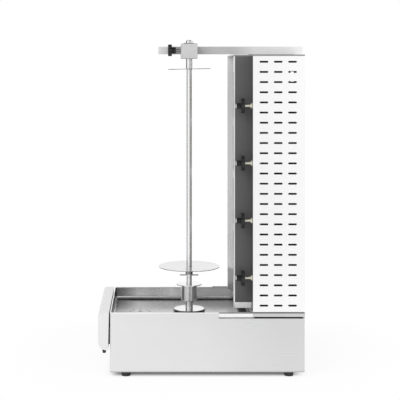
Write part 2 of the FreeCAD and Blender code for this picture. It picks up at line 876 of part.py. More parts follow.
def make_gear_motor():
    """Gearbox under the well with a motor can to the rear, on a bent bracket."""
    bottom = gearbox_top - gearbox_height
    half = gearbox_width / 2
    low = (-half, -spit_front - gearbox_depth / 2, bottom)
    high = (half, -spit_front + gearbox_depth / 2, gearbox_top - boss_height)
    body = plate("gearbox", (low[0], high[0], low[1], high[1]), bottom, high[2] - bottom)
    fillet(body, is_upright, gearbox_corner)
    boss = new_sketch(body, "XY_Plane", high[2])
    circle(boss, 0, -spit_front, gearbox_boss)
    pad(body, boss, boss_height)
    bore = new_sketch(body, "XY_Plane", gearbox_top - gearbox_engagement)
    circle(bore, 0, -spit_front, shaft_stub_radius + running_gap)
    pocket(body, bore, gearbox_engagement, forward=True)
    keep(body, "gearbox")
    start = (0, high[1], bottom + gearbox_height / 2)
    profile = [
        (0, 0), (motor_radius, 0), (motor_radius, motor_length - motor_edge),
        (motor_radius - motor_edge, motor_length), (0, motor_length),
    ]
    keep(turned("gear_motor", profile, start, "+Y"), "gear_motor")
    floor = foot_height + sheet_metal
    bracket = new_body("motor_bracket")
    sketch = new_sketch(bracket, "XZ_Plane", spit_front - gearbox_depth / 2)
    span = bracket_width / 2
    outline(sketch, [
        (-span, floor), (-half, floor), (-half, bottom - sheet_metal), (half, bottom - sheet_metal),
        (half, floor), (span, floor), (span, floor + sheet_metal), (half + sheet_metal, floor + sheet_metal),
        (half + sheet_metal, bottom), (-half - sheet_metal, bottom),
        (-half - sheet_metal, floor + sheet_metal), (-span, floor + sheet_metal),
    ])
    pad(bracket, sketch, gearbox_depth)
    keep(bracket, "motor_bracket")


def make_spit():
    """Drive shaft, socket, plate, rod, cross pin and top journal on one axis."""
    def axis_at(height):
        return 0, -spit_front, height

    stub = shaft_stub_radius
    shoulder = gearbox_top + loose_gap
    low = gearbox_top - gearbox_engagement + loose_gap
    profile = [
        (0, 0), (stub, 0), (stub, shoulder - low), (shaft_radius, shoulder - low),
        (shaft_radius, socket_bottom - low), (stub, socket_bottom - low),
        (stub, socket_bottom + shaft_stub - low), (0, socket_bottom + shaft_stub - low),
    ]
    keep(turned("drive_shaft", profile, axis_at(low)), "drive_shaft")
    edge = rod_chamfer
    profile = [
        (stub, 0), (socket_radius - edge, 0), (socket_radius, edge),
        (socket_radius, socket_height), (rod_radius, socket_height),
        (rod_radius, socket_floor), (stub, socket_floor),
    ]
    keep(turned("spit_socket", profile, axis_at(socket_bottom)), "spit_socket")
    top = socket_bottom + socket_height
    keep(ring("socket_plate", rod_radius, plate_radius, axis_at(top), plate_thickness), "socket_plate")
    length = rod_top - rod_bottom
    profile = [(0, 0), (rod_radius, 0), (rod_radius, length - edge), (rod_radius - edge, length), (0, length)]
    shaft = turned("spit_rod_blank", profile, axis_at(rod_bottom))
    reach = rod_radius + 1
    hole = rod("pin_hole", pin_radius, (0, -spit_front - reach, pin_height), reach * 2, "+Y")
    keep(cut("spit_rod_cut", shaft, hole), "spit_rod")
    half = pin_length / 2
    profile = [(0, 0), (pin_radius - 0.5, 0), (pin_radius, 0.5), (pin_radius, pin_length - 0.5),
               (pin_radius - 0.5, pin_length), (0, pin_length)]
    keep(turned("cross_pin", profile, (0, -spit_front - half, pin_height), "+Y"), "cross_pin")
    journal = ring("top_journal", rod_radius, journal_radius, axis_at(journal_bottom),
                   rod_top - journal_short - journal_bottom)
    keep(journal, "top_journal")


def make_discs():
    """Lower disc with its hub on the cross pin, and the small top disc."""
    bore = rod_radius + loose_gap
    bottom = pin_height + pin_radius + loose_gap
    hub = meat_disc_height - bottom
    profile = [
        (bore, 0), (bore + hub_wall, 0), (bore + hub_wall, hub), (meat_disc_radius, hub),
        (meat_disc_radius, hub + disc_thickness), (bore, hub + disc_thickness),
    ]
    keep(turned("meat_disc", profile, (0, -spit_front, bottom)), "meat_disc")
    top_disc = ring("top_disc", bore, top_disc_radius, (0, -spit_front, top_disc_height), disc_thickness)
    top_disc.Placement.Rotation = FreeCAD.Rotation(Vector(1, 0, 0), top_disc_tilt.number)
    keep(top_disc, "top_disc")


# Switch and cable inlet on the base

def make_switch():
    wall = -half_base
    y = switch_from_front - base_front
    z = switch_height
    frame = box("switch_bezel",
                (wall - switch_frame, y - switch_width / 2 - switch_frame, z - switch_tall / 2 - switch_frame),
                (wall, y + switch_width / 2 + switch_frame, z + switch_tall / 2 + switch_frame))
    case = box("switch_case", (wall, y - switch_width / 2, z - switch_tall / 2),
               (wall + switch_depth, y + switch_width / 2, z + switch_tall / 2))
    inset = switch_frame
    hollow = box("switch_hollow", (wall - switch_frame, y - switch_width / 2 + inset, z - switch_tall / 2 + inset),
                 (wall + switch_depth / 2, y + switch_width / 2 - inset, z + switch_tall / 2 - inset))
    keep(cut("switch_body_cut", fuse("switch_outer", frame, case), hollow), "switch_body")
    half = switch_width / 2 - inset - rocker_gap
    rocker = new_body("switch_rocker")
    bottom = z - switch_tall / 2 + inset + loose_gap
    height = switch_tall - inset * 2 - loose_gap * 2
    sketch = new_sketch(rocker, "XY_Plane", bottom)
    outline(sketch, [
        (wall + rocker_depth, y - half), (wall + rocker_depth, y + half), (wall - switch_frame, y + half),
        (wall - rocker_dip, y), (wall, y - half),
    ])
    pad(rocker, sketch, height)
    pivot = new_sketch(rocker, "XY_Plane", bottom)
    circle(pivot, wall + rocker_depth, y, rocker_pivot)
    pad(rocker, pivot, height)
    keep(rocker, "switch_rocker")


def make_cable_gland():
    """Cable inlet: a screwed gland through the rear wall, with its dome nut."""
    at = (-gland_side, base_back - sheet_metal * 3, gland_height)
    inner = gland_bore
    neck = gland_radius
    collar = gland_radius + 3
    profile = [
        (inner, 0), (neck, 0), (neck, sheet_metal * 3), (collar, sheet_metal * 3),
        (collar, sheet_metal * 3 + 5), (neck, sheet_metal * 3 + 5), (neck - 1, gland_stub),
        (inner + 1, gland_stub + 3), (inner, gland_stub + 3),
    ]
    keep(turned("cable_gland", profile, at, "+Y"), "cable_gland")


# Burner tower

def make_carriage():
    half = half_base - carriage_inset / 2
    body = plate("carriage", (-half, half, tower_front + sheet_metal, tower_back - sheet_metal),
                 carriage_bottom, carriage_sheet)
    holes = new_sketch(body, "XY_Plane", carriage_bottom)
    bolts = []
    for side in (-1, 1):
        for row in (0, 1):
            x = bolt_side * side
            y = bolt_back - bolt_pitch * row
            circle(holes, x, y, bolt_radius)
            low = deck_underside - loose_gap - bolt_head_height
            grip = tower_bottom - low
            profile = [
                (0, 0), (washer_radius, 0), (washer_radius, bolt_head_height), (bolt_radius, bolt_head_height),
                (bolt_radius, grip), (bolt_head, grip), (bolt_head, grip + bolt_head_height),
                (0, grip + bolt_head_height),
            ]
            bolts.append(turned("carriage_bolt", profile, (x, y, low)))
    pocket(body, holes, carriage_sheet, forward=True)
    keep(body, "tower_carriage")
    keep(group("carriage_bolt_group", *bolts), "carriage_bolts")


def make_vent_panel(side, label):
    """Side cover with a front and a back flange and a grid of bevel-ended slots."""
    body = new_body(label)
    height = tower_top - tower_bottom
    skin = thin_sheet
    sketch = new_sketch(body, "XY_Plane", tower_bottom)
    corners = [
        (half_box, tower_front), (half_tower, tower_front), (half_tower, tower_back),
        (half_tower - back_flange, tower_back), (half_tower - back_flange, tower_back - skin),
        (half_tower - skin, tower_back - skin), (half_tower - skin, tower_front + skin),
        (half_box, tower_front + skin),
    ]
    outline(sketch, [(x * side, y) for x, y in corners])
    pad(body, sketch, height)
    if side > 0:
        holes = new_sketch(body, "XZ_Plane", -tower_front - skin)
        for index in range(burner_count):
            circle(holes, tap_side, tap_first + burner_pitch * index, bonnet_radius + loose_gap)
        pocket(body, holes, skin * 2, forward=True)
    slot = new_sketch(body, "YZ_Plane", (half_tower - skin * 2) * side)
    for column in range(slot_columns):
        y = slot_first_column + slot_column_pitch * column
        bevel_slot(slot, y, slot_first_row, slot_length, slot_width)
    feature = pocket(body, slot, skin * 3, forward=side > 0)
    row_of(body, feature, "Z_Axis", slot_row_pitch, slot_rows)
    keep(body, label)


def make_rear_cover():
    """Flat back between the side covers' flanges, with cooling slots high up."""
    half = half_tower - thin_sheet - 2
    body = new_body("rear_cover")
    sketch = new_sketch(body, "XZ_Plane", thin_sheet - tower_back)
    rectangle(sketch, -half, half, tower_bottom, tower_top)
    pad(body, sketch, thin_sheet)
    inlet = new_sketch(body, "XZ_Plane", thin_sheet - tower_back)
    circle(inlet, inlet_side, manifold_bottom, inlet_collar + loose_gap)
    pocket(body, inlet, thin_sheet, forward=True)
    for side in (-1, 1):
        vents = new_sketch(body, "XZ_Plane", thin_sheet - tower_back)
        bevel_slot(vents, vent_side * side, vent_first, vent_length, slot_width)
        feature = pocket(body, vents, thin_sheet, forward=True)
        row_of(body, feature, "Z_Axis", vent_pitch, vent_rows)
    keep(body, "rear_cover")


def arm_bed(inset):
    """Sides of the raised bed that carries the arm on the top cover."""
    half = arm_size / 2 - inset
    return (-arm_side - half, -arm_side + half,
            tower_front + arm_bed_inset + inset, tower_back - arm_bed_inset - inset)


def make_top_cover():
    """Shallow lid over the tower and the narrower burner box, raised under the arm."""
    def lid_outline(inset):
        box_side = half_box + thin_sheet - inset
        side = half_tower - inset
        return [
            (-box_side, box_front + inset), (box_side, box_front + inset), (box_side, tower_front + inset),
            (side, tower_front + inset), (side, tower_back - inset), (-side, tower_back - inset),
            (-side, tower_front + inset), (-box_side, tower_front + inset),
        ]
    body = new_body("top_cover")
    sketch = new_sketch(body, "XY_Plane", tower_top)
    outline(sketch, lid_outline(Size(0.0, "0")))
    pad(body, sketch, cover_height)
    hollow = new_sketch(body, "XY_Plane", tower_top)
    outline(hollow, lid_outline(sheet_metal))
    pocket(body, hollow, cover_height - sheet_metal, forward=True)
    bed = new_sketch(body, "XY_Plane", cover_top)
    rectangle(bed, *arm_bed(Size(0.0, "0")))
    pad(body, bed, arm_bed_height)
    under = new_sketch(body, "XY_Plane", cover_top - sheet_metal)
    rectangle(under, *arm_bed(sheet_metal))
    pocket(body, under, arm_bed_height, forward=True)
    screws = new_sketch(body, "XY_Plane", arm_bottom)
    for index in (0, 1):
        circle(screws, -arm_side, arm_screw_front + arm_screw_pitch * index, arm_screw_radius)
    pocket(body, screws, sheet_metal)
    keep(body, "top_cover")


def sill_outline(inset):
    """Plan of the sill, which follows the back of the splayed reflector."""
    skin = thin_sheet
    root = reflector_root / 2 + skin
    shoulder = half_box - inset
    side = half_box + skin - inset
    wing = loose_gap + inset * 1.5
    hem_back = box_front + hem + loose_gap + inset
    right = [
        (root, reflector_back + skin + wing), (shoulder, box_front + skin * 1.5 + wing),
        (shoulder, hem_back), (side, hem_back), (side, tower_front - inset),
    ]
    return right + [(-x, y) for x, y in reversed(right)]


def make_burner_box():
    """Dark side panels, splayed reflector with its four windows, and the sill."""
    sides = []
    for side in (-1, 1):
        low = (half_box - thin_sheet, box_front + hem * 0.6, sill_top)
        high = (half_box, panel_tail, tower_top)
        if side < 0:
            low, high = (-high[0], low[1], low[2]), (-low[0], high[1], high[2])
        sides.append(box("side_panel", low, high))
    keep(group("side_panel_group", *sides), "side_panels")

    body = new_body("reflector")
    skin = thin_sheet
    root = reflector_root / 2
    right = [
        (root, reflector_back), (half_box + skin, box_front), (half_box + skin, box_front + hem),
        (half_box, box_front + hem), (half_box, box_front + skin * 1.5), (root + skin, reflector_back + skin),
    ]
    left = [(-x, y) for x, y in reversed(right)]
    sketch = new_sketch(body, "XY_Plane", box_bottom)
    outline(sketch, left + right)
    pad(body, sketch, tower_top - box_bottom)
    window = new_sketch(body, "XZ_Plane", -reflector_back)
    rectangle(window, -window_width / 2, window_width / 2,
              burner_first - window_height / 2, burner_first + window_height / 2)
    feature = pocket(body, window, skin * 2, forward=False)
    row_of(body, feature, "Z_Axis", burner_pitch, burner_count)
    keep(body, "reflector_frame")

    sill = new_body("sill")
    sketch = new_sketch(sill, "XY_Plane", box_bottom)
    outline(sketch, sill_outline(Size(0.0, "0")))
    pad(sill, sketch, sill_height)
    hollow = new_sketch(sill, "XY_Plane", box_bottom)
    outline(hollow, sill_outline(skin))
    pocket(sill, hollow, sill_height - skin, forward=True)
    keep(sill, "burner_sill")


def burner_height(index):
    return burner_first + burner_pitch * index


def make_burner(index):
    """Sheet case with a tile recess, a plenum and a mixing tube along its back."""
    z = burner_height(index)
    front = reflector_back + thin_sheet
    name = f"burner_{index + 1}"
    half = case_width / 2
    tall = case_height / 2
    back = front + case_depth
    case = box(f"{name}_case", (-half, front, z - tall), (half, back, z + tall))
    throat = box(f"{name}_throat", (-mixer_end, back, z - mixer_radius), (mixer_throat - mixer_end, mixer_back, z + mixer_radius))
    pipe = rod(f"{name}_pipe", mixer_radius, (-mixer_end, mixer_back, z), mixer_end + mixer_mouth - mixer_flare_length, "+X")
    flare = cone(f"{name}_flare", mixer_radius, mixer_radius + mixer_flare,
                 (mixer_mouth - mixer_flare_length, mixer_back, z), mixer_flare_length, "+X")
    outer = fuse(f"{name}_outer", case, throat, pipe, flare)
    tile_half = window_width / 2 + tile_lap + loose_gap
    tile_tall = window_height / 2 + tile_lap + loose_gap
    recess = box(f"{name}_recess", (-tile_half, front, z - tile_tall), (tile_half, front + tile_depth + loose_gap, z + tile_tall))
    inner_half = half - plenum_margin
    inner_tall = tall - plenum_margin
    plenum = box(f"{name}_plenum", (-inner_half, front, z - inner_tall), (inner_half, back - sheet_metal, z + inner_tall))
    bore = mixer_radius - sheet_metal
    passage = box(f"{name}_passage", (sheet_metal - mixer_end, front, z - bore), (mixer_throat - mixer_end - sheet_metal, mixer_back, z + bore))
    tube = rod(f"{name}_bore", bore, (sheet_metal - mixer_end, mixer_back, z), mixer_end + mixer_mouth - mixer_flare_length - sheet_metal, "+X")
    mouth = cone(f"{name}_mouth", bore, bore + mixer_flare, (mixer_mouth - mixer_flare_length, mixer_back, z), mixer_flare_length, "+X")
    keep(cut(f"{name}_cut", outer, recess, plenum, passage, tube, mouth), name)


def make_tiles():
    """Ceramic tiles, side by side in the recess of each case."""
    tiles = []
    front = reflector_back + thin_sheet + loose_gap
    width = (window_width + tile_lap * 2) / tiles_per_burner
    tall = window_height / 2 + tile_lap
    for index in range(burner_count):
        z = burner_height(index)
        for column in range(tiles_per_burner):
            x = width * column - window_width / 2 - tile_lap
            tiles.append(box(f"tile_{index}_{column}", (x, front, z - tall),
                             (x + width, front + tile_depth - loose_gap, z + tall)))
    keep(group("tile_group", *tiles), "burner_tiles")


def make_guards():
    """A flat grille over each window of the reflector."""
    guards = []
    half = window_width / 2 + guard_border
    tall = window_height / 2 + guard_border
    column_pitch = (half * 2 - guard_bar) / guard_columns
    row_pitch = (tall * 2 - guard_bar) / guard_rows
    for index in range(burner_count):
        z = burner_height(index)
        body = new_body(f"guard_{index}")
        face = new_sketch(body, "XZ_Plane", -reflector_back)
        rectangle(face, -half, half, z - tall, z + tall)
        pad(body, face, guard_thickness)
        cells = new_sketch(body, "XZ_Plane", -reflector_back)
        low = z - tall + guard_bar
        for column in range(guard_columns):
            left = -half + guard_bar + column_pitch * column
            rectangle(cells, left, left + column_pitch - guard_bar, low, low + row_pitch - guard_bar)
        feature = pocket(body, cells, guard_thickness, forward=True)
        row_of(body, feature, "Z_Axis", row_pitch, guard_rows)
        guards.append(body)
    keep(group("guard_group", *guards), "burner_guards")


# Gas train: manifold, inlet, taps, stems and knobs

def tap_height(index):
    return tap_first + burner_pitch * index


def make_manifold():
    top = tap_height(burner_count - 1) + manifold_over
    pipe = rod("manifold_pipe", manifold_radius, (tap_side, manifold_back, manifold_bottom), top - manifold_bottom)
    branches = [
        rod(f"branch_{index}", branch_radius, (tap_side, tap_block_back, tap_height(index)),
            manifold_back - tap_block_back, "+Y")
        for index in range(burner_count)
    ]
    run = rod("manifold_run", manifold_radius, (inlet_side, manifold_back, manifold_bottom),
              tap_side - inlet_side, "+X")
    elbows = [
        rod("manifold_elbow", elbow_radius, (x, manifold_back, manifold_bottom - elbow_height / 2), elbow_height)
        for x in (tap_side, inlet_side)
    ]
    tail_end = tower_back - inlet_collar_inside
    tail = rod("manifold_tail", manifold_radius, (inlet_side, manifold_back, manifold_bottom),
               tail_end - manifold_back, "+Y")
    keep(fuse("manifold_fuse", pipe, run, tail, *elbows, *branches), "gas_manifold")
    start = (inlet_side, tail_end, manifold_bottom)
    collar = inlet_collar_inside + inlet_collar_outside
    profile = [
        (inlet_bore, 0), (inlet_collar, 0), (inlet_collar, collar), (inlet_radius, collar),
        (inlet_radius, collar + inlet_length), (inlet_bore, collar + inlet_length),
    ]
    keep(turned("gas_inlet", profile, start, "+Y"), "gas_inlet")


def make_tap(index):
    """Brass tap: bonnet and nut through the flange, block and jet behind it."""
    z = tap_height(index)
    name = f"gas_tap_{index + 1}"
    flange_back = tower_front + thin_sheet
    half = tap_block / 2
    bonnet = rod(f"{name}_bonnet", bonnet_radius, (tap_side, bonnet_front, z), flange_back - bonnet_front, "+Y")
    nut = rod(f"{name}_nut", nut_radius, (tap_side, tower_front - nut_height, z), nut_height, "+Y")
    block = box(f"{name}_block", (tap_side - half, flange_back, z - half), (tap_side + half, tap_block_back, z + half))
    jet_length = tap_side - half - jet_end
    jet = cone(f"{name}_jet", jet_radius, jet_tip, (tap_side - half, mixer_back - jet_radius, z), jet_length, "-X")
    bore = rod(f"{name}_bore", stem_radius + running_gap, (tap_side, bonnet_front, z), stem_back + push_travel + loose_gap - bonnet_front, "+Y")
    TAPS.append(cut(f"{name}_cut", fuse(f"{name}_outer", bonnet, nut, block, jet), bore))
    stem = rod(f"tap_stem_{index + 1}_rod", stem_radius, (tap_side, stem_front, z), stem_back - stem_front, "+Y")
    keep(stem, f"tap_stem_{index + 1}")


def lobed_disc(body, bottom, radius, depth, bite, bite_radius, lobes):
    """A disc with round bites out of its edge, one of the lobes pointing along +X."""
    disc = new_sketch(body, "XY_Plane", bottom)
    circle(disc, 0, 0, radius)
    pad(body, disc, depth)
    sketch = new_sketch(body, "XY_Plane", bottom)
    reach = radius + bite_radius - bite
    turn = math.pi / lobes.number
    circle(sketch, reach * math.cos(turn), reach * math.sin(turn), bite_radius)
    feature = pocket(body, sketch, depth, forward=True)
    ring_of(body, feature, lobes)


def make_gas_knob(index):
    """Lobed skirt with a round grip and a hollow back; it turns on the stem."""
    name = f"gas_knob_{index + 1}"
    body = new_body(name)
    skirt = knob_back - knob_front
    length = knob_back - grip_front
    lobed_disc(body, Size(0.0, "0"), knob_radius, skirt, knob_bite, knob_bite_radius, knob_lobes)
    grip = new_sketch(body, "XY_Plane", skirt)
    circle(grip, 0, 0, grip_radius)
    pad(body, grip, length - skirt)
    chamfer(body, lambda edge: is_circle_at(edge, grip_radius, length), knob_edge)
    hollow = new_sketch(body, "XY_Plane", 0)
    circle(hollow, 0, 0, knob_radius - knob_bite - knob_wall)
    circle(hollow, 0, 0, stem_radius + knob_wall)
    pocket(body, hollow, skirt - knob_wall, forward=True)
    bore = new_sketch(body, "XY_Plane", 0)
    circle(bore, 0, 0, stem_radius + running_gap)
    pocket(body, bore, knob_back - stem_front + loose_gap, forward=True)
    place(body, tap_side, knob_back, tap_height(index), "-Y")
    keep(body, name)


# Arm, clamp block and its knob

def make_arm():
    low_x = -arm_side - arm_size / 2
    high_x = -arm_side + arm_size / 2
    tube = new_body("arm")
    sketch = new_sketch(tube, "XZ_Plane", -arm_back)
    rectangle(sketch, low_x, high_x, arm_bottom, arm_bottom + arm_size)
    rectangle(sketch, low_x + arm_wall, high_x - arm_wall, arm_bottom + arm_wall, arm_bottom + arm_size - arm_wall)
    pad(tube, sketch, arm_back + arm_front)
    holes = new_sketch(tube, "XY_Plane", arm_bottom)
    for index in (0, 1):
        circle(holes, -arm_side, arm_screw_front + arm_screw_pitch * index, arm_screw_radius)
    pocket(tube, holes, arm_wall, forward=True)
    keep(tube, "arm")
    caps = []
    for end, direction, head in ((-arm_front, 1, arm_wall), (arm_back, -1, cap_head)):
        plug = box("cap_plug", *ordered(
            (low_x + arm_wall, end, arm_bottom + arm_wall),
            (high_x - arm_wall, end + cap_plug * direction, arm_bottom + arm_size - arm_wall)))
        face = box("cap_head", *ordered(
            (low_x, end, arm_bottom), (high_x, end - head * direction, arm_bottom + arm_size)))
        caps.append(fuse("arm_cap", plug, face))
    keep(group("arm_cap_group", *caps), "arm_end_caps")
    screws = []
    for index in (0, 1):
        y = arm_screw_front + arm_screw_pitch * index
        head = arm_screw_radius
        grip = arm_bottom - sheet_metal
        profile = [
            (0, 0), (arm_screw_head, 0), (arm_screw_head, head), (arm_screw_radius, head),
            (arm_screw_radius, head + sheet_metal + arm_wall * 3), (0, head + sheet_metal + arm_wall * 3),
        ]
        screws.append(turned("arm_screw", profile, (-arm_side, y, grip - head)))
    keep(group("arm_screw_group", *screws), "arm_screws")


def ordered(first, second):
    """The low and the high corner of the box between two points."""
    low = tuple(a if number_of(a) <= number_of(b) else b for a, b in zip(first, second))
    high = tuple(b if number_of(a) <= number_of(b) else a for a, b in zip(first, second))
    return low, high


def make_clamp_block():
    """Block with a square hole for the arm and a bushed bore for the journal."""
    left = -arm_side - arm_size / 2 - block_wall
    back = block_depth - block_front
    body = plate("clamp_block", (left, block_right, -block_front, back), block_bottom, block_height)
    chamfer(body, lambda edge: edge.Curve.TypeId == "Part::GeomLine", block_edge)
    hole = new_sketch(body, "XZ_Plane", block_front)
    gap = loose_gap
    rectangle(hole, -arm_side - arm_size / 2 - gap, -arm_side + arm_size / 2 + gap,
              arm_bottom - gap, arm_bottom + arm_size + gap)
    pocket(body, hole, block_depth)
    bush_radius = journal_radius + running_gap + spit_bush_wall
    bore = new_sketch(body, "XY_Plane", block_bottom)
    circle(bore, 0, -spit_front, bush_radius)
    pocket(body, bore, block_height, forward=True)
    stud = new_sketch(body, "XZ_Plane", block_front)
    circle(stud, 0, arm_axis, lock_stud_radius + running_gap)
    pocket(body, stud, block_front - spit_front)
    screw = new_sketch(body, "YZ_Plane", left)
    circle(screw, block_depth / 2 - block_front, arm_axis, set_screw_radius)
    pocket(body, screw, block_wall, forward=True)
    keep(body, "clamp_block")

    inner = journal_radius + running_gap
    profile = [
        (inner, 0), (bush_radius, 0), (bush_radius, block_height),
        (bush_radius + spit_bush_lip, block_height),
        (bush_radius + spit_bush_lip, block_height + spit_bush_lip_height),
        (inner, block_height + spit_bush_lip_height),
    ]
    keep(turned("spit_bush", profile, (0, -spit_front, block_bottom)), "spit_bush")
    start = (left - set_screw_length + block_wall - gap, block_depth / 2 - block_front, arm_axis)
    head = rod("set_screw_blank", set_screw_radius, start, set_screw_length, "+X")
    socket = rod("set_screw_socket", set_screw_radius / 2, start, set_screw_length / 2, "+X")
    keep(cut("set_screw_cut", head, socket), "arm_set_screw")


def make_lock_knob():
    """Lobed knob on a stud that holds the bush in the clamp block."""
    body = new_body("lock_knob")
    lobed_disc(body, lock_hub_length, lock_disc_radius, lock_disc_depth,
               lock_bite, lock_bite_radius, lock_lobes)
    hub = new_sketch(body, "XY_Plane", 0)
    circle(hub, 0, 0, lock_hub_radius)
    pad(body, hub, lock_hub_length)
    bore = new_sketch(body, "XY_Plane", 0)
    circle(bore, 0, 0, lock_stud_radius)
    pocket(body, bore, lock_hub_length, forward=True)
    face = -block_front - lock_stand_off
    place(body, 0, face, arm_axis, "-Y")
    keep(body, "lock_knob")
    inner = journal_radius + running_gap + spit_bush_wall + loose_gap
    length = lock_hub_length - face - spit_front - inner
    stud = rod("lock_stud_rod", lock_stud_radius, (0, face - lock_hub_length, arm_axis), length, "+Y")
    keep(stud, "lock_stud")


make_base_shell()
make_drip_well()
make_base_bottom()
make_feet()
make_rails()
make_drawer_front()
make_drawer_pan()
make_drawer_bumpers()
make_drawer_runners()
make_bearing()
make_gear_motor()
make_spit()
make_discs()
make_switch()
make_cable_gland()
make_carriage()
make_vent_panel(1, "vent_panel_right")
make_vent_panel(-1, "vent_panel_left")
make_rear_cover()
make_top_cover()
make_burner_box()
for number in range(burner_count):
    make_burner(number)
    make_tap(number)
    make_gas_knob(number)
keep(group("gas_tap_group", *TAPS), "gas_taps")
make_tiles()
make_guards()
make_manifold()
make_arm()
make_clamp_block()
make_lock_knob()
doc.recompute()

faults = [item.Name for item in doc.Objects if {"Invalid", "Error"} & set(item.State)]
faults += [item.Label for item in PIECES if item.Shape.isNull() or not item.Shape.isValid()]
if faults:
    raise SystemExit(f"These objects failed: {', '.join(faults)}")

for item in PIECES:
    item.Shape.exportStep(f"parts/{item.Label}.step")
print(len(PIECES), "sub-parts written")
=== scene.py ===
import math

import bmesh
import bpy
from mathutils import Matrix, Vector


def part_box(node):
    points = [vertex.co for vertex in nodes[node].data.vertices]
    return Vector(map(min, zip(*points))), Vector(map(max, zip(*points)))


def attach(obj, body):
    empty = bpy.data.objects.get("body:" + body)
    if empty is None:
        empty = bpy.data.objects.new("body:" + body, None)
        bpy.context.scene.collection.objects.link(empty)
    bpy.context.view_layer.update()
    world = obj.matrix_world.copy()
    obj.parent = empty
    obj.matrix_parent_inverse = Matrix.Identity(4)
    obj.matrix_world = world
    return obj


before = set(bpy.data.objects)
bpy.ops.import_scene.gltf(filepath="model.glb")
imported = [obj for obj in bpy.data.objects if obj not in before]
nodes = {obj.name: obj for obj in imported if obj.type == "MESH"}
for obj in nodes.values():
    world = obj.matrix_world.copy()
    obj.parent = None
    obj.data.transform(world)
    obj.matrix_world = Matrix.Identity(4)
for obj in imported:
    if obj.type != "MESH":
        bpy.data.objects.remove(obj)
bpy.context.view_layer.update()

TAPS = (1, 2, 3, 4)
SPIT_Y = -0.044
FULL_TURN = 2 * math.pi

# Sockets of a Mix node that mixes colours
MIX_FIRST, MIX_SECOND, MIX_RESULT = 6, 7, 2


# Colours and node trees

def grey(level, blue=0.0):
    """A neutral colour, or one with a touch more blue."""
    return (level, level, level + blue)


def tinted(colour, factor):
    return tuple(min(channel * factor, 1.0) for channel in colour)


SATIN = grey(0.76, 0.005)
BRIGHT = grey(0.93)
WHITE = grey(1.0)


def empty_tree(owner):
    owner.use_nodes = True
    owner.node_tree.nodes.clear()
    return owner.node_tree


def add_node(tree, kind, values=None, **fields):
    """Add a node, set its fields and the given input values."""
    node = tree.nodes.new(kind)
    for field, value in fields.items():
        setattr(node, field, value)
    for socket, value in (values or {}).items():
        node.inputs[socket].default_value = value
    return node


# Camera, floor and light

def add_camera():
    """Level camera on the +X side, at the photograph's distance and height."""
    data = bpy.data.cameras.new("camera")
    data.sensor_width = 36.0
    data.lens = 99.0
    data.shift_x = 0.1075
    data.shift_y = -0.3275
    data.clip_end = 50.0
    camera = bpy.data.objects.new("camera", data)
    camera.location = (3.631, -0.150, 0.9576)
    camera.rotation_euler = (math.radians(90), 0, math.radians(90))
    bpy.context.collection.objects.link(camera)
    bpy.context.scene.camera = camera


def add_lamp(name, place, aim, size, power):
    """A rectangular lamp that reflections don't see."""
    data = bpy.data.lights.new(name, "AREA")
    data.shape = "RECTANGLE"
    data.size, data.size_y = size
    data.energy = power
    lamp = bpy.data.objects.new(name, data)
    lamp.location = place
    lamp.rotation_euler = (Vector(aim) - Vector(place)).to_track_quat("-Z", "Y").to_euler()
    lamp.visible_glossy = False
    bpy.context.collection.objects.link(lamp)


def set_world():
    """White to the camera and in reflections, softer as light on the object."""
    white_light, light_on_object = 1.0, 0.62
    colour = (*WHITE, 1)
    world = bpy.data.worlds.new("studio")
    tree = empty_tree(world)
    paths = add_node(tree, "ShaderNodeLightPath")
    seen = add_node(tree, "ShaderNodeMath", operation="MAXIMUM")
    either = add_node(tree, "ShaderNodeMath", operation="MAXIMUM")
    white = add_node(tree, "ShaderNodeBackground", {"Color": colour, "Strength": white_light})
    soft = add_node(tree, "ShaderNodeBackground", {"Color": colour, "Strength": light_on_object})
    mix = add_node(tree, "ShaderNodeMixShader")
    out = add_node(tree, "ShaderNodeOutputWorld")
    tree.links.new(paths.outputs["Is Camera Ray"], seen.inputs[0])
    tree.links.new(paths.outputs["Is Glossy Ray"], seen.inputs[1])
    tree.links.new(seen.outputs[0], either.inputs[0])
    tree.links.new(paths.outputs["Is Transmission Ray"], either.inputs[1])
    tree.links.new(either.outputs[0], mix.inputs[0])
    tree.links.new(soft.outputs[0], mix.inputs[1])
    tree.links.new(white.outputs[0], mix.inputs[2])
    tree.links.new(mix.outputs[0], out.inputs["Surface"])
    bpy.context.scene.world = world


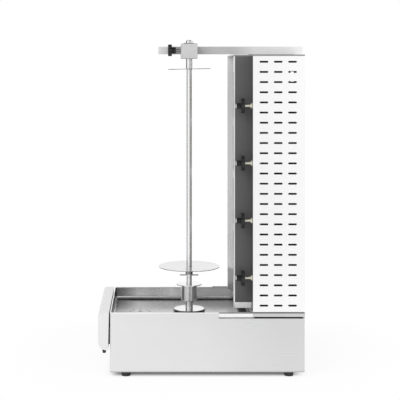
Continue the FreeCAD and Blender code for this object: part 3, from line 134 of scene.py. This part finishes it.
def add_floor():
    """A pale floor that keeps the object's shadow near it and fades to white."""
    reach = 30.0
    footprint = (0.168, 0.262, 0)
    glow_shares = ((0.0, 0.06), (0.055, 0.88), (0.6, 1.0))
    mesh = bpy.data.meshes.new("floor")
    corners = [(-reach, -reach, 0), (reach, -reach, 0), (reach, reach, 0), (-reach, reach, 0)]
    mesh.from_pydata(corners, [], [(0, 1, 2, 3)])
    floor = bpy.data.objects.new("floor", mesh)
    bpy.context.collection.objects.link(floor)
    material = bpy.data.materials.new("floor")
    tree = empty_tree(material)
    place = add_node(tree, "ShaderNodeTexCoord")
    outside = add_node(tree, "ShaderNodeVectorMath", operation="ABSOLUTE")
    beyond = add_node(tree, "ShaderNodeVectorMath", {1: footprint}, operation="SUBTRACT")
    clamp = add_node(tree, "ShaderNodeVectorMath", {1: (0, 0, 0)}, operation="MAXIMUM")
    length = add_node(tree, "ShaderNodeVectorMath", operation="LENGTH")
    fade = add_node(tree, "ShaderNodeValToRGB")
    fade.color_ramp.interpolation = "EASE"
    stops = fade.color_ramp.elements
    for index, (position, share) in enumerate(glow_shares):
        stop = stops[index] if index < len(stops) else stops.new(position)
        stop.position = position
        stop.color = (*grey(share), 1)
    matt = add_node(tree, "ShaderNodeBsdfDiffuse", {"Color": (*grey(0.96), 1)})
    glow = add_node(tree, "ShaderNodeEmission", {"Strength": 1.0})
    mix = add_node(tree, "ShaderNodeMixShader")
    out = add_node(tree, "ShaderNodeOutputMaterial")
    tree.links.new(place.outputs["Object"], outside.inputs[0])
    tree.links.new(outside.outputs["Vector"], beyond.inputs[0])
    tree.links.new(beyond.outputs["Vector"], clamp.inputs[0])
    tree.links.new(clamp.outputs["Vector"], length.inputs[0])
    tree.links.new(length.outputs["Value"], fade.inputs["Fac"])
    tree.links.new(fade.outputs["Color"], mix.inputs[0])
    tree.links.new(matt.outputs[0], mix.inputs[1])
    tree.links.new(glow.outputs[0], mix.inputs[2])
    tree.links.new(mix.outputs[0], out.inputs["Surface"])
    mesh.materials.append(material)


def add_flag(name, points, faces, shade):
    """A dark studio flag that only reflections see."""
    mesh = bpy.data.meshes.new(name)
    mesh.from_pydata(points, [], faces)
    flag = bpy.data.objects.new(name, mesh)
    bpy.context.collection.objects.link(flag)
    material = bpy.data.materials.new(name)
    tree = empty_tree(material)
    glow = add_node(tree, "ShaderNodeEmission", {"Color": (*grey(shade), 1)})
    out = add_node(tree, "ShaderNodeOutputMaterial")
    tree.links.new(glow.outputs[0], out.inputs["Surface"])
    mesh.materials.append(material)
    flag.visible_camera = False
    flag.visible_diffuse = False
    flag.visible_shadow = False
    flag.visible_transmission = False


def add_standing_flag(name, first, last, distance, shade):
    """A curved flag on the floor, between two bearings from the spit."""
    steps, height = 8, 1.7
    points, faces = [], []
    for step in range(steps + 1):
        bearing = math.radians(first + (last - first) * step / steps)
        x, y = distance * math.cos(bearing), SPIT_Y + distance * math.sin(bearing)
        points += [(x, y, 0.0), (x, y, height)]
    for step in range(steps):
        low = 2 * step
        faces.append((low, low + 2, low + 3, low + 1))
    add_flag(name, points, faces, shade)


def add_overhead_flag(name, reach, height, shade):
    """A flat flag above the object."""
    corners = ((-reach, -reach), (reach, -reach), (reach, reach), (-reach, reach))
    add_flag(name, [(x, y, height) for x, y in corners], [(0, 1, 2, 3)], shade)


# Materials

GRAIN = {"X": (0.012, 1, 1), "Y": (1, 0.012, 1), "Z": (1, 1, 0.012)}

# Span of Surface.level() through which a face turns from lying to standing
UPRIGHT = (0.6, 0.3)


class Surface:
    """A Principled material with helpers that add its texture nodes."""

    def __init__(self, name, colour, metallic=0.0, roughness=0.4, **sockets):
        self.material = bpy.data.materials.new(name)
        self.material.use_nodes = True
        self.tree = self.material.node_tree
        self.shader = self.tree.nodes["Principled BSDF"]
        self.shader.inputs["Base Color"].default_value = (*colour, 1)
        self.shader.inputs["Metallic"].default_value = metallic
        self.shader.inputs["Roughness"].default_value = roughness
        for socket, value in sockets.items():
            self.shader.inputs[socket.replace("_", " ")].default_value = value
        self.colour = colour
        self.tint = None
        self.rough = None
        self.normal = None
        self.place = self.add("ShaderNodeTexCoord").outputs["Object"]

    def add(self, kind, values=None, **fields):
        return add_node(self.tree, kind, values, **fields)

    def link(self, start, end):
        self.tree.links.new(start, end)

    # Values that a texture can follow

    def stretched(self, scale):
        """Object coordinates scaled per axis, so that a texture becomes a grain."""
        mapping = self.add("ShaderNodeMapping", {"Scale": scale})
        self.link(self.place, mapping.inputs["Vector"])
        return mapping.outputs["Vector"]

    def noise(self, scale, detail=3.0, stretch=(1, 1, 1), distortion=0.0):
        values = {"Scale": scale, "Detail": detail, "Roughness": 0.55, "Distortion": distortion}
        node = self.add("ShaderNodeTexNoise", values)
        self.link(self.stretched(stretch), node.inputs["Vector"])
        return node.outputs["Fac"]

    def ranged(self, value, low, high, start=0.0, end=1.0):
        """Map low..high to start..end, and hold the value beyond them."""
        values = {"From Min": low, "From Max": high, "To Min": start, "To Max": end}
        node = self.add("ShaderNodeMapRange", values)
        self.link(value, node.inputs["Value"])
        return node.outputs["Result"]

    def math(self, operation, first, second=None):
        node = self.add("ShaderNodeMath", operation=operation)
        self.link(first, node.inputs[0])
        if isinstance(second, float):
            node.inputs[1].default_value = second
        elif second is not None:
            self.link(second, node.inputs[1])
        return node.outputs[0]

    def along(self, axis):
        """The object coordinate on an axis."""
        node = self.add("ShaderNodeSeparateXYZ")
        self.link(self.place, node.inputs[0])
        return node.outputs[axis]

    def aside(self):
        """Distance from the object's middle plane."""
        return self.math("ABSOLUTE", self.along("X"))

    def radius(self, centre_y):
        """Distance from an upright line at x 0 and the given y."""
        across = self.math("POWER", self.along("X"), 2.0)
        along = self.math("POWER", self.math("SUBTRACT", self.along("Y"), centre_y), 2.0)
        return self.math("SQRT", self.math("ADD", across, along))

    def facing(self, axis):
        """How far a face looks along an axis, from -1 to 1."""
        geometry = self.add("ShaderNodeNewGeometry")
        node = self.add("ShaderNodeSeparateXYZ")
        self.link(geometry.outputs["True Normal"], node.inputs[0])
        return node.outputs[axis]

    def level(self):
        """High on faces that lie flat, low on faces that stand upright."""
        return self.math("ABSOLUTE", self.facing("Z"))

    # Changes to the shader

    def vary_colour(self, value, colour):
        """Blend the colour so far towards another one where the value is high."""
        node = self.add("ShaderNodeMix", data_type="RGBA")
        self.link(value, node.inputs["Factor"])
        if self.tint is None:
            node.inputs[MIX_FIRST].default_value = (*self.colour, 1)
        else:
            self.link(self.tint, node.inputs[MIX_FIRST])
        node.inputs[MIX_SECOND].default_value = (*colour, 1)
        self.tint = node.outputs[MIX_RESULT]
        self.link(self.tint, self.shader.inputs["Base Color"])

    def blend(self, value, span, colour, strength=1.0):
        """Blend towards a colour while the value runs through the span."""
        self.vary_colour(self.ranged(value, *span, 0.0, strength), colour)

    def blend_along(self, axis, span, colour, strength=1.0):
        self.blend(self.along(axis), span, colour, strength)

    def worn_edges(self, span, colour):
        """Lighter convex edges, where handling wears a finish."""
        geometry = self.add("ShaderNodeNewGeometry")
        self.blend(geometry.outputs["Pointiness"], span, colour)

    def vary_roughness(self, value):
        self.rough = value
        self.link(value, self.shader.inputs["Roughness"])

    def bump(self, value, strength, distance):
        node = self.add("ShaderNodeBump", {"Strength": strength, "Distance": distance})
        self.link(value, node.inputs["Height"])
        if self.normal is not None:
            self.link(self.normal, node.inputs["Normal"])
        self.normal = node.outputs["Normal"]
        self.link(self.normal, self.shader.inputs["Normal"])


def brushed(name, colour, grain="Y", roughness=0.3, spread=0.08, depth=0.05, smudge=0.05,
            metallic=1.0):
    """Stainless sheet: fine grain along one axis, faint smudges, soft cloudiness."""
    surface = Surface(name, colour, metallic=metallic, roughness=roughness)
    fine = surface.noise(scale=900, detail=2.0, stretch=GRAIN[grain])
    broad = surface.noise(scale=420, detail=3.0, stretch=GRAIN[grain])
    cloud = surface.noise(scale=5.5, detail=4.0, distortion=0.4)
    waviness = surface.noise(scale=2.2, detail=1.0)
    surface.blend(fine, (0.3, 0.7), tinted(colour, 1 - spread), strength=0.5)
    surface.blend(broad, (0.45, 0.75), tinted(colour, 1 + spread * 0.6), strength=0.18)
    surface.blend(cloud, (0.5, 0.8), tinted(colour, 1 - smudge), strength=0.6)
    grain_shine = surface.ranged(fine, 0.3, 0.7, roughness - spread, roughness + spread)
    cloud_shine = surface.ranged(cloud, 0.4, 0.8, -0.02, 0.05)
    surface.vary_roughness(surface.math("ADD", grain_shine, cloud_shine))
    surface.bump(fine, strength=depth, distance=0.0002)
    surface.bump(waviness, strength=0.05, distance=0.004)
    return surface


def polished(name, colour, grain="Z", roughness=0.12):
    """Polished steel, with hairline marks and fingerprints."""
    surface = Surface(name, colour, metallic=1.0, roughness=roughness)
    hair = surface.noise(scale=1200, detail=2.0, stretch=GRAIN[grain])
    prints = surface.noise(scale=38, detail=5.0, distortion=1.2)
    surface.blend(hair, (0.4, 0.7), tinted(colour, 0.9), strength=0.35)
    surface.blend(prints, (0.55, 0.75), tinted(colour, 0.93), strength=0.3)
    surface.vary_roughness(surface.ranged(prints, 0.4, 0.75, roughness, roughness + 0.1))
    surface.bump(hair, strength=0.04, distance=0.0001)
    return surface


def turned(name, colour, roughness=0.2):
    """Fine-turned bar: the turning marks smear reflections along the axis."""
    surface = Surface(name, colour, metallic=1.0, roughness=roughness,
                      Anisotropic=0.9, Anisotropic_Rotation=0.25)
    tangent = surface.add("ShaderNodeTangent", direction_type="RADIAL", axis="Z")
    surface.link(tangent.outputs[0], surface.shader.inputs["Tangent"])
    marks = surface.noise(scale=1500, detail=2.0, stretch=(0.02, 0.02, 1))
    prints = surface.noise(scale=38, detail=5.0, distortion=1.2)
    surface.blend(marks, (0.4, 0.7), tinted(colour, 0.92), strength=0.35)
    surface.blend(prints, (0.55, 0.75), tinted(colour, 0.94), strength=0.2)
    surface.vary_roughness(surface.ranged(prints, 0.4, 0.75, roughness, roughness + 0.03))
    return surface


def painted(name, colour, roughness=0.42):
    """A satin coat with fine orange peel, dust and rubbed edges."""
    surface = Surface(name, colour, roughness=roughness, Coat_Weight=0.15, Coat_Roughness=0.25)
    peel = surface.noise(scale=420, detail=2.0)
    dust = surface.noise(scale=24, detail=5.0, distortion=0.6)
    shade = surface.noise(scale=3.5, detail=2.0)
    surface.blend(dust, (0.45, 0.8), tinted(colour, 1.18), strength=0.5)
    surface.blend(shade, (0.4, 0.8), tinted(colour, 0.92), strength=0.5)
    surface.worn_edges((0.56, 0.7), tinted(colour, 1.6))
    surface.vary_roughness(surface.ranged(dust, 0.35, 0.75, roughness - 0.05, roughness + 0.12))
    surface.bump(peel, strength=0.12, distance=0.0003)
    return surface


def plastic(name, colour, roughness=0.45, grit=0.15):
    """Moulded plastic or rubber: fine texture, scuffs and paler edges."""
    surface = Surface(name, colour, roughness=roughness)
    texture = surface.noise(scale=1500, detail=2.0)
    scuff = surface.noise(scale=60, detail=4.0, distortion=0.8)
    scuffed = tuple(channel * 1.5 + 0.006 for channel in colour)
    rubbed = tuple(channel * 1.8 + 0.012 for channel in colour)
    surface.blend(scuff, (0.55, 0.8), scuffed, strength=0.5)
    surface.worn_edges((0.54, 0.68), rubbed)
    surface.vary_roughness(surface.ranged(scuff, 0.3, 0.8, roughness - 0.08, roughness + 0.15))
    surface.bump(texture, strength=grit, distance=0.0002)
    return surface


def cast(name, colour, roughness=0.5, metallic=1.0):
    """Machined or cast metal with a matt, faintly cloudy skin."""
    surface = Surface(name, colour, metallic=metallic, roughness=roughness)
    sand = surface.noise(scale=700, detail=3.0)
    cloud = surface.noise(scale=14, detail=4.0, distortion=0.5)
    surface.blend(sand, (0.35, 0.7), tinted(colour, 0.9), strength=0.4)
    surface.blend(cloud, (0.45, 0.75), tinted(colour, 1.08), strength=0.5)
    surface.worn_edges((0.55, 0.7), tinted(colour, 1.15))
    surface.vary_roughness(surface.ranged(cloud, 0.35, 0.75, roughness - 0.06, roughness + 0.1))
    surface.bump(sand, strength=0.15, distance=0.0002)
    return surface


def ceramic_tile(name, colour):
    """Porous burner tile: a grid of fine holes, with scorched patches."""
    hole_colour = (0.12, 0.09, 0.07)
    holes_per_metre = (420, 1, 420)
    surface = Surface(name, colour, roughness=0.85)
    cells = surface.add("ShaderNodeTexVoronoi", {"Scale": 1.0, "Randomness": 0.0}, feature="F1")
    surface.link(surface.stretched(holes_per_metre), cells.inputs["Vector"])
    holes = surface.ranged(cells.outputs["Distance"], 0.18, 0.3, 1.0, 0.0)
    scorch = surface.noise(scale=18, detail=4.0)
    pores = surface.noise(scale=600, detail=3.0)
    surface.blend(scorch, (0.4, 0.75), tinted(colour, 0.78), strength=0.6)
    surface.vary_colour(holes, hole_colour)
    surface.bump(surface.ranged(holes, 0.0, 1.0, 1.0, 0.0), strength=0.5, distance=0.0008)
    surface.bump(pores, strength=0.2, distance=0.0003)
    return surface


def heat_stained(name, colour):
    """Stainless that runs from straw to blue-grey where it gets hot."""
    straw, blue_grey = (0.42, 0.33, 0.22), (0.22, 0.24, 0.30)
    surface = Surface(name, colour, metallic=1.0, roughness=0.4)
    heat = surface.noise(scale=22, detail=3.0, distortion=0.6)
    mottle = surface.noise(scale=300, detail=3.0)
    grit = surface.noise(scale=800, detail=2.0)
    surface.blend(heat, (0.4, 0.6), straw, strength=0.7)
    surface.blend(heat, (0.58, 0.75), blue_grey, strength=0.7)
    surface.vary_roughness(surface.ranged(mottle, 0.3, 0.7, 0.32, 0.52))
    surface.bump(grit, strength=0.1, distance=0.0002)
    return surface


def shell_steel(name):
    """Satin base sheet: painted shade to the rear, a painted dark reflection along the bottom
    edge, a painted shadow under the rails and a painted highlight on the rim.
    """
    rear, foot_reflection, rim = (-0.02, 0.26), (0.0185, 0.0145), (0.1966, 0.1972)
    shadow_top, shadow_foot, shadow_front = (0.1862, 0.1852), (0.1800, 0.1815), (0.040, 0.046)
    surface = brushed(name, SATIN, "Y", 0.32, spread=0.03, depth=0.025, smudge=0.02, metallic=0.45)
    # Painted shade, darker towards the rear.
    surface.blend_along("Y", rear, tinted(SATIN, 0.8), strength=0.6)
    # Painted dark reflection along the bottom edge.
    surface.blend_along("Z", foot_reflection, grey(0.30), strength=0.75)
    # Painted shadow: a thin dark band under the rails, behind their front end.
    below = surface.ranged(surface.along("Z"), *shadow_top)
    above = surface.ranged(surface.along("Z"), *shadow_foot)
    behind = surface.ranged(surface.along("Y"), *shadow_front, 0.0, 0.7)
    rail_shadow = surface.math("MULTIPLY", surface.math("MULTIPLY", below, above), behind)
    surface.vary_colour(rail_shadow, grey(0.25))
    # Painted highlight: a white line along the rim.
    surface.blend_along("Z", rim, WHITE)
    return surface


def well_steel(name):
    """Well sheet with painted light and shade: a wall painted lighter than the floor, painted
    light on the wall's rear part, and painted shade on the floor beside the walls and at both
    ends.
    """
    tower_front, floor_edge, front_end = (0.112, 0.124), (0.150, 0.182), (-0.215, -0.285)
    wall_foot, rim_foot, lit_wall = (0.1605, 0.1655), (0.1935, 0.1955), (-0.16, -0.10)
    rough_floor, wall_metallic = 0.85, 0.3
    surface = brushed(name, grey(0.60, 0.005), "X", 0.2, spread=0.05)
    # Painted shade on the floor under the tower, which is also rougher there.
    under_tower = surface.ranged(surface.along("Y"), *tower_front)
    surface.vary_colour(under_tower, grey(0.12))
    dull_floor = surface.math("MULTIPLY", under_tower, rough_floor)
    surface.vary_roughness(surface.math("MAXIMUM", surface.rough, dull_floor))
    # Painted shade on the floor beside the walls.
    surface.blend(surface.aside(), floor_edge, grey(0.07))
    # Painted light: the wall lighter than the floor.
    wall = surface.ranged(surface.along("Z"), *wall_foot)
    surface.vary_colour(wall, grey(0.72, 0.005))
    # Painted light on the wall from beside the spit to the rear, where it is also less metallic.
    lit = surface.math("MULTIPLY", wall, surface.ranged(surface.along("Y"), *lit_wall))
    surface.vary_colour(lit, WHITE)
    metallic = surface.ranged(lit, 0.0, 1.0, 1.0, wall_metallic)
    surface.link(metallic, surface.shader.inputs["Metallic"])
    # Painted shade towards the front end.
    surface.blend_along("Y", front_end, grey(0.18, 0.005), strength=0.8)
    # The rim keeps the plain wall colour.
    surface.blend_along("Z", rim_foot, grey(0.72))
    return surface


def cove_steel(name):
    """Polished bend along the well's floor, with painted shade at its rear end."""
    rear_end = (0.10, 0.14)
    surface = polished(name, grey(0.88), "X", 0.16)
    # Painted shade at the rear end, under the tower.
    surface.blend_along("Y", rear_end, grey(0.08))
    return surface


def rail_steel(name):
    """Guide rail: painted shade under the tower and along its top edge."""
    tower_front, top_edge = (0.146, 0.150), (0.1958, 0.1966)
    surface = brushed(name, BRIGHT, "Y", 0.34, spread=0.04, metallic=0.3)
    # Painted shade under the tower.
    surface.blend_along("Y", tower_front, grey(0.60))
    # Painted shade along the top edge, under the carriage.
    surface.blend_along("Z", top_edge, grey(0.30))
    return surface


def arm_steel(name):
    """Square tube, with painted shade in front of the tower, deepest beside the spit's block and
    fainter at the front end.
    """
    tower_front, block_rear, front_end = (0.17, 0.09), (0.05, -0.02), (-0.12, -0.08)
    surface = brushed(name, grey(0.90), "Y", 0.3, spread=0.05, metallic=0.25)
    before_tower = surface.ranged(surface.along("Y"), *tower_front, 0.0, 0.78)
    beside_block = surface.ranged(surface.along("Y"), *block_rear, 0.0, 0.22)
    front_fade = surface.ranged(surface.along("Y"), *front_end, 0.4, 1.0)
    # Painted shade: a darker reflection in front of the tower, fading at the front end.
    arm_shade = surface.math("MULTIPLY", surface.math("ADD", before_tower, beside_block), front_fade)
    surface.vary_colour(arm_shade, grey(0.46, 0.005))
    return surface


def reflector_steel(name):
    """Bright reflector: painted shade at its foot, a painted highlight on the hems at its sides,
    and darker behind the hem on the tap side.
    """
    foot, hem = (0.282, 0.272), (0.1488, 0.1494)
    outer_side, hem_back = (0.140, 0.145), (0.0964, 0.0972)
    surface = brushed(name, grey(0.80, 0.005), "Z", 0.26, spread=0.03, depth=0.04, metallic=0.45)
    # Painted shade at the foot.
    surface.blend_along("Z", foot, grey(0.38, 0.005))
    # Painted highlight: white along the hems at the sides.
    surface.blend(surface.aside(), hem, WHITE)
    # Darker behind the hem on the +X side.
    outer = surface.ranged(surface.along("X"), *outer_side)
    inward = surface.ranged(surface.along("Y"), *hem_back)
    surface.vary_colour(surface.math("MULTIPLY", outer, inward), grey(0.12))
    return surface


def vent_steel(name):
    """Bright slotted cover, with painted shade on its front fold and on its level faces, the cut
    edges of the slots.
    """
    front_fold, cut_edges = (-0.4, -0.7), (0.4, 0.7)
    surface = brushed(name, grey(0.95), "Z", 0.36, spread=0.04, smudge=0.02, metallic=0.3)
    # Painted shade on faces that look to the front.
    surface.blend(surface.facing("Y"), front_fold, grey(0.11))
    # Painted shade on the level faces, the cut edges of the slots.
    surface.blend(surface.level(), cut_edges, grey(0.10))
    return surface


def flange_steel(name):
    """Polished flange with a painted dark reflection on its shoulder, its upright faces and its
    rim.
    """
    shoulder, rim_top = (0.0465, 0.0505), (0.1668, 0.1660)
    surface = polished(name, grey(0.92), "Y", 0.14)
    # Painted dark reflection on the shoulder, on upright faces and on the rim's top.
    surface.blend(surface.radius(SPIT_Y), shoulder, grey(0.30, 0.005))
    surface.blend(surface.level(), UPRIGHT, grey(0.24, 0.005))
    surface.blend_along("Z", rim_top, grey(0.24, 0.005))
    return surface


def plate_steel(name):
    """Polished plate with a turned rim, painted a little darker as shade."""
    surface = polished(name, grey(0.92), "Y", 0.14)
    # Painted shade: upright faces a little darker.
    surface.blend(surface.level(), UPRIGHT, grey(0.80))
    return surface


def disc_steel(name):
    """Brushed disc with a painted dark reflection on its rim."""
    surface = brushed(name, grey(0.80), "X", 0.24, spread=0.05)
    # Painted dark reflection on the upright faces of the rim.
    surface.blend(surface.level(), UPRIGHT, grey(0.30, 0.005))
    return surface


def block_alloy(name):
    """Machined clamp block, with painted shade on its top face and edge."""
    top_face = (1.0400, 1.0425)
    surface = cast(name, grey(0.67), 0.48, metallic=0.5)
    # Painted shade on the top face.
    surface.blend_along("Z", top_face, grey(0.32))
    return surface


def per_tap(stem):
    return tuple(f"{stem}_{index}" for index in TAPS)


def dress():
    """Give every CAD node its material."""
    spit = turned("turned_spit", grey(0.93))
    guard = heat_stained("guard_steel", (0.15, 0.145, 0.14))
    dark = painted("dark_panel", grey(0.066, 0.001))
    looks = {
        # base and drawer
        shell_steel("satin_steel"): ("base_shell", "base_bottom"),
        well_steel("well_steel"): ("drip_well",),
        rail_steel("rail_steel"): ("slide_rails",),
        brushed("satin_steel_front", grey(0.80, 0.005), "X", 0.32, spread=0.05, smudge=0.03,
                metallic=0.45): ("drawer_front",),
        # The pan is coloured dark as painted shade, where it shows through the gap behind the
        # drawer front.
        brushed("pan_steel", grey(0.20, 0.005), "X", 0.4, metallic=0.7): ("drawer_pan",),
        cast("zinc", (0.58, 0.59, 0.61), 0.35):
            ("foot_screws", "drawer_runners", "motor_bracket", "carriage_bolts", "arm_screws"),
        cast("cast_alloy", grey(0.66, 0.01), 0.42): ("gearbox",),
        painted("motor_black", grey(0.03, 0.004), 0.35): ("gear_motor",),
        plastic("rubber", grey(0.016, 0.001), 0.7, 0.3): ("rubber_feet", "drawer_bumpers"),
        plastic("red_plastic", (0.42, 0.015, 0.012), 0.25, 0.05): ("switch_rocker",),
        # spit
        spit: ("spit_rod", "top_journal"),
        turned("turned_socket", grey(0.96), 0.32): ("spit_socket", "drive_shaft"),
        cast("pin_steel", grey(0.95), 0.35, metallic=0.5): ("cross_pin",),
        plate_steel("polished_plate"): ("socket_plate",),
        flange_steel("polished_turned"): ("bearing_flange", "shaft_bush", "spit_bush"),
        disc_steel("disc_steel"): ("meat_disc", "top_disc"),
        # tower
        # The carriage is coloured dark as painted shade under the tower.
        brushed("carriage_steel", grey(0.28, 0.005), "Y", 0.4, metallic=0.6): ("tower_carriage",),
        brushed("bright_steel", BRIGHT, "Z", 0.36, spread=0.04, smudge=0.02, metallic=0.35):
            ("rear_cover",),
        vent_steel("vent_steel"): ("vent_panel_right", "vent_panel_left"),
        # The top cover is coloured darker than the other sheet as painted shade along its edge.
        brushed("cover_steel", grey(0.36, 0.005), "Y", 0.34, spread=0.06, metallic=0.5):
            ("top_cover",),
        dark: ("side_panels",),
        reflector_steel("reflector_steel"): ("reflector_frame",),
        # The sill is matt white as a painted highlight.
        brushed("sill_steel", WHITE, "X", 0.3, spread=0.02, smudge=0.0, metallic=0.0):
            ("burner_sill",),
        # Burner cases are coloured dark as painted shade inside the tower.
        cast("aluminised", grey(0.20, 0.01), 0.5): per_tap("burner"),
        ceramic_tile("tile", (0.42, 0.36, 0.30)): ("burner_tiles",),
        guard: ("burner_guards",),
        # The manifold is coloured dark as painted shade inside the tower.
        cast("manifold_zinc", grey(0.16, 0.005), 0.45): ("gas_manifold",),
        cast("brass", (0.98, 0.94, 0.76), 0.3, metallic=0.4):
            ("gas_inlet", "gas_taps") + per_tap("tap_stem"),
        plastic("black_plastic", grey(0.007, 0.001), 0.5):
            ("switch_body", "cable_gland", "lock_knob") + per_tap("gas_knob"),
        # arm and block
        arm_steel("arm_steel"): ("arm", "arm_end_caps"),
        block_alloy("block_alloy"): ("clamp_block",),
        cast("stud_steel", grey(0.42, 0.01), 0.3): ("lock_stud",),
        cast("black_oxide", grey(0.05), 0.4): ("arm_set_screw",),
    }
    for surface, names in looks.items():
        for name in names:
            for slot in nodes[name].material_slots:
                slot.material = surface.material
    return {"spit": spit.material, "guard": guard.material, "dark": dark.material,
            "cove": cove_steel("well_cove").material}


# Added detail

def finish_mesh(name, mesh_data, body, material, smooth=True):
    """Turn a bmesh into a piece that rides on a body."""
    mesh = bpy.data.meshes.new(name)
    bmesh.ops.recalc_face_normals(mesh_data, faces=mesh_data.faces)
    mesh_data.to_mesh(mesh)
    mesh_data.free()
    piece = bpy.data.objects.new(name, mesh)
    bpy.context.collection.objects.link(piece)
    mesh.materials.append(material)
    for face in mesh.polygons:
        face.use_smooth = smooth
    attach(piece, body)


def join_rings(mesh_data, first, second):
    """Faces between two closed rings of as many points."""
    count = len(first)
    for step in range(count):
        after = (step + 1) % count
        mesh_data.faces.new((first[step], first[after], second[after], second[step]))


def lathe(mesh_data, profile, centre, steps=40):
    """Revolve (radius, height) points about a line along Y through the centre."""
    rings = []
    for radius, height in profile:
        ring = []
        for step in range(steps):
            turn = FULL_TURN * step / steps
            x, z = centre[0] + radius * math.cos(turn), centre[2] + radius * math.sin(turn)
            ring.append(mesh_data.verts.new((x, centre[1] + height, z)))
        rings.append(ring)
    for low, high in zip(rings, rings[1:]):
        join_rings(mesh_data, low, high)
    mesh_data.faces.new(rings[0])
    mesh_data.faces.new(list(reversed(rings[-1])))


def add_knob_caps(metal):
    """A small bright cap on the front of each gas knob."""
    profile = [(0.0030, 0.0016), (0.0078, 0.0016), (0.0078, -0.0004), (0.0068, -0.0010),
               (0.0022, -0.0012)]
    for index in TAPS:
        low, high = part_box(f"gas_knob_{index}")
        x = (low[0] + high[0]) / 2
        z = (low[2] + high[2]) / 2
        mesh_data = bmesh.new()
        lathe(mesh_data, profile, (x, low[1], z))
        finish_mesh(f"knob_cap_{index}", mesh_data, f"knob_{index}", metal)


def rounded_rectangle(low, high, radius, inset, steps=6):
    """Points of a rounded rectangle that lies inset from the given one."""
    points = []
    corners = ((high[0], high[1], 0), (low[0], high[1], 90),
               (low[0], low[1], 180), (high[0], low[1], 270))
    for x, y, start in corners:
        centre_x = x - radius if x == high[0] else x + radius
        centre_y = y - radius if y == high[1] else y + radius
        for step in range(steps + 1):
            turn = math.radians(start + 90 * step / steps)
            reach = radius - inset
            points.append((centre_x + reach * math.cos(turn), centre_y + reach * math.sin(turn)))
    return points


def add_well_cove(metal):
    """The well's rounded bottom corner, all the way round."""
    flange, sheet, floor = 0.0055, 0.0012, 0.0032
    bend, bend_steps, seat, corner = 0.0072, 6, 0.0002, 0.008
    low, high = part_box("drip_well")
    inner_low = (low[0] + flange, low[1] + sheet)
    inner_high = (high[0] - flange, high[1] - flange)
    profile = [(-seat, bend)]
    for step in range(bend_steps + 1):
        turn = math.radians(90 * step / bend_steps)
        profile.append((bend * (1 - math.cos(turn)), bend * (1 - math.sin(turn))))
    profile += [(bend, -seat), (-seat, -seat)]
    mesh_data = bmesh.new()
    rings = []
    for inset, height in profile:
        path = rounded_rectangle(inner_low, inner_high, corner, inset)
        rings.append([mesh_data.verts.new((x, y, low[2] + floor + height)) for x, y in path])
    for index, ring in enumerate(rings):
        join_rings(mesh_data, ring, rings[(index + 1) % len(rings)])
    finish_mesh("well_cove", mesh_data, "base", metal)


def add_bar(mesh_data, start, end, radius, sides=6):
    """A straight round wire between two points."""
    start, end = Vector(start), Vector(end)
    turn = (end - start).to_track_quat("Z", "Y")
    rings = []
    for point in (start, end):
        ring = []
        for side in range(sides):
            angle = FULL_TURN * side / sides
            offset = turn @ Vector((radius * math.cos(angle), radius * math.sin(angle), 0))
            ring.append(mesh_data.verts.new(point + offset))
        rings.append(ring)
    join_rings(mesh_data, *rings)
    mesh_data.faces.new(list(reversed(rings[0])))
    mesh_data.faces.new(rings[1])


def add_guard_mesh(metal):
    """Fine wire mesh on the front of each burner, behind the grille's bars."""
    height, wire, gap = 0.158, 0.0006, 0.001
    columns, rows = 35, 26
    low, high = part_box("burner_guards")
    pitch = (high[2] - low[2] - height) / (len(TAPS) - 1)
    upright_y, level_y = high[1] - wire, high[1] + wire * 0.5
    for index in TAPS:
        bottom = low[2] + pitch * (index - 1)
        top = bottom + height
        mesh_data = bmesh.new()
        for column in range(1, columns):
            x = low[0] + (high[0] - low[0]) * column / columns
            add_bar(mesh_data, (x, upright_y, bottom + gap), (x, upright_y, top - gap), wire)
        for row in range(1, rows):
            z = bottom + (top - bottom) * row / rows
            add_bar(mesh_data, (low[0] + gap, level_y, z), (high[0] - gap, level_y, z), wire)
        finish_mesh(f"guard_mesh_{index}", mesh_data, "tower", metal)


def add_shade_screen(metal):
    """Dark folded sheet in the tower's hollow, painted shade that closes the view through the
    slots.
    """
    x, sheet, lip, gap = -0.140, 0.0012, 0.012, 0.004
    front, bottom = 0.166, 0.222
    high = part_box("vent_panel_left")[1]
    back, top = high[1] - gap, high[2] - gap
    outline = [(x, front), (x + lip, front), (x + lip, front + sheet), (x + sheet, front + sheet),
               (x + sheet, back - sheet), (x + lip, back - sheet), (x + lip, back), (x, back)]
    mesh_data = bmesh.new()
    lower = [mesh_data.verts.new((across, along, bottom)) for across, along in outline]
    upper = [mesh_data.verts.new((across, along, top)) for across, along in outline]
    join_rings(mesh_data, lower, upper)
    mesh_data.faces.new(list(reversed(lower)))
    mesh_data.faces.new(upper)
    finish_mesh("shade_screen", mesh_data, "tower", metal, smooth=False)


bpy.context.scene.view_settings.view_transform = "Standard"
add_camera()
set_world()
add_floor()
add_lamp("key", place=(2.6, -2.0, 3.4), aim=(0, 0, 0.4), size=(3.0, 2.4), power=78)
add_lamp("fill", place=(2.4, 2.6, 2.2), aim=(0, 0, 0.5), size=(2.4, 2.4), power=34)
add_standing_flag("flag_front", first=-132, last=-76, distance=1.5, shade=0.16)
add_standing_flag("flag_middle", first=-4, last=21, distance=1.3, shade=0.33)
add_standing_flag("flag_back", first=38, last=56, distance=1.2, shade=0.22)
add_standing_flag("flag_far", first=116, last=150, distance=1.2, shade=0.16)
add_overhead_flag("flag_top", reach=1.5, height=2.3, shade=0.15)
materials = dress()
add_knob_caps(materials["spit"])
add_well_cove(materials["cove"])
add_guard_mesh(materials["guard"])
# A dark sheet as painted shade inside the tower.
add_shade_screen(materials["dark"])
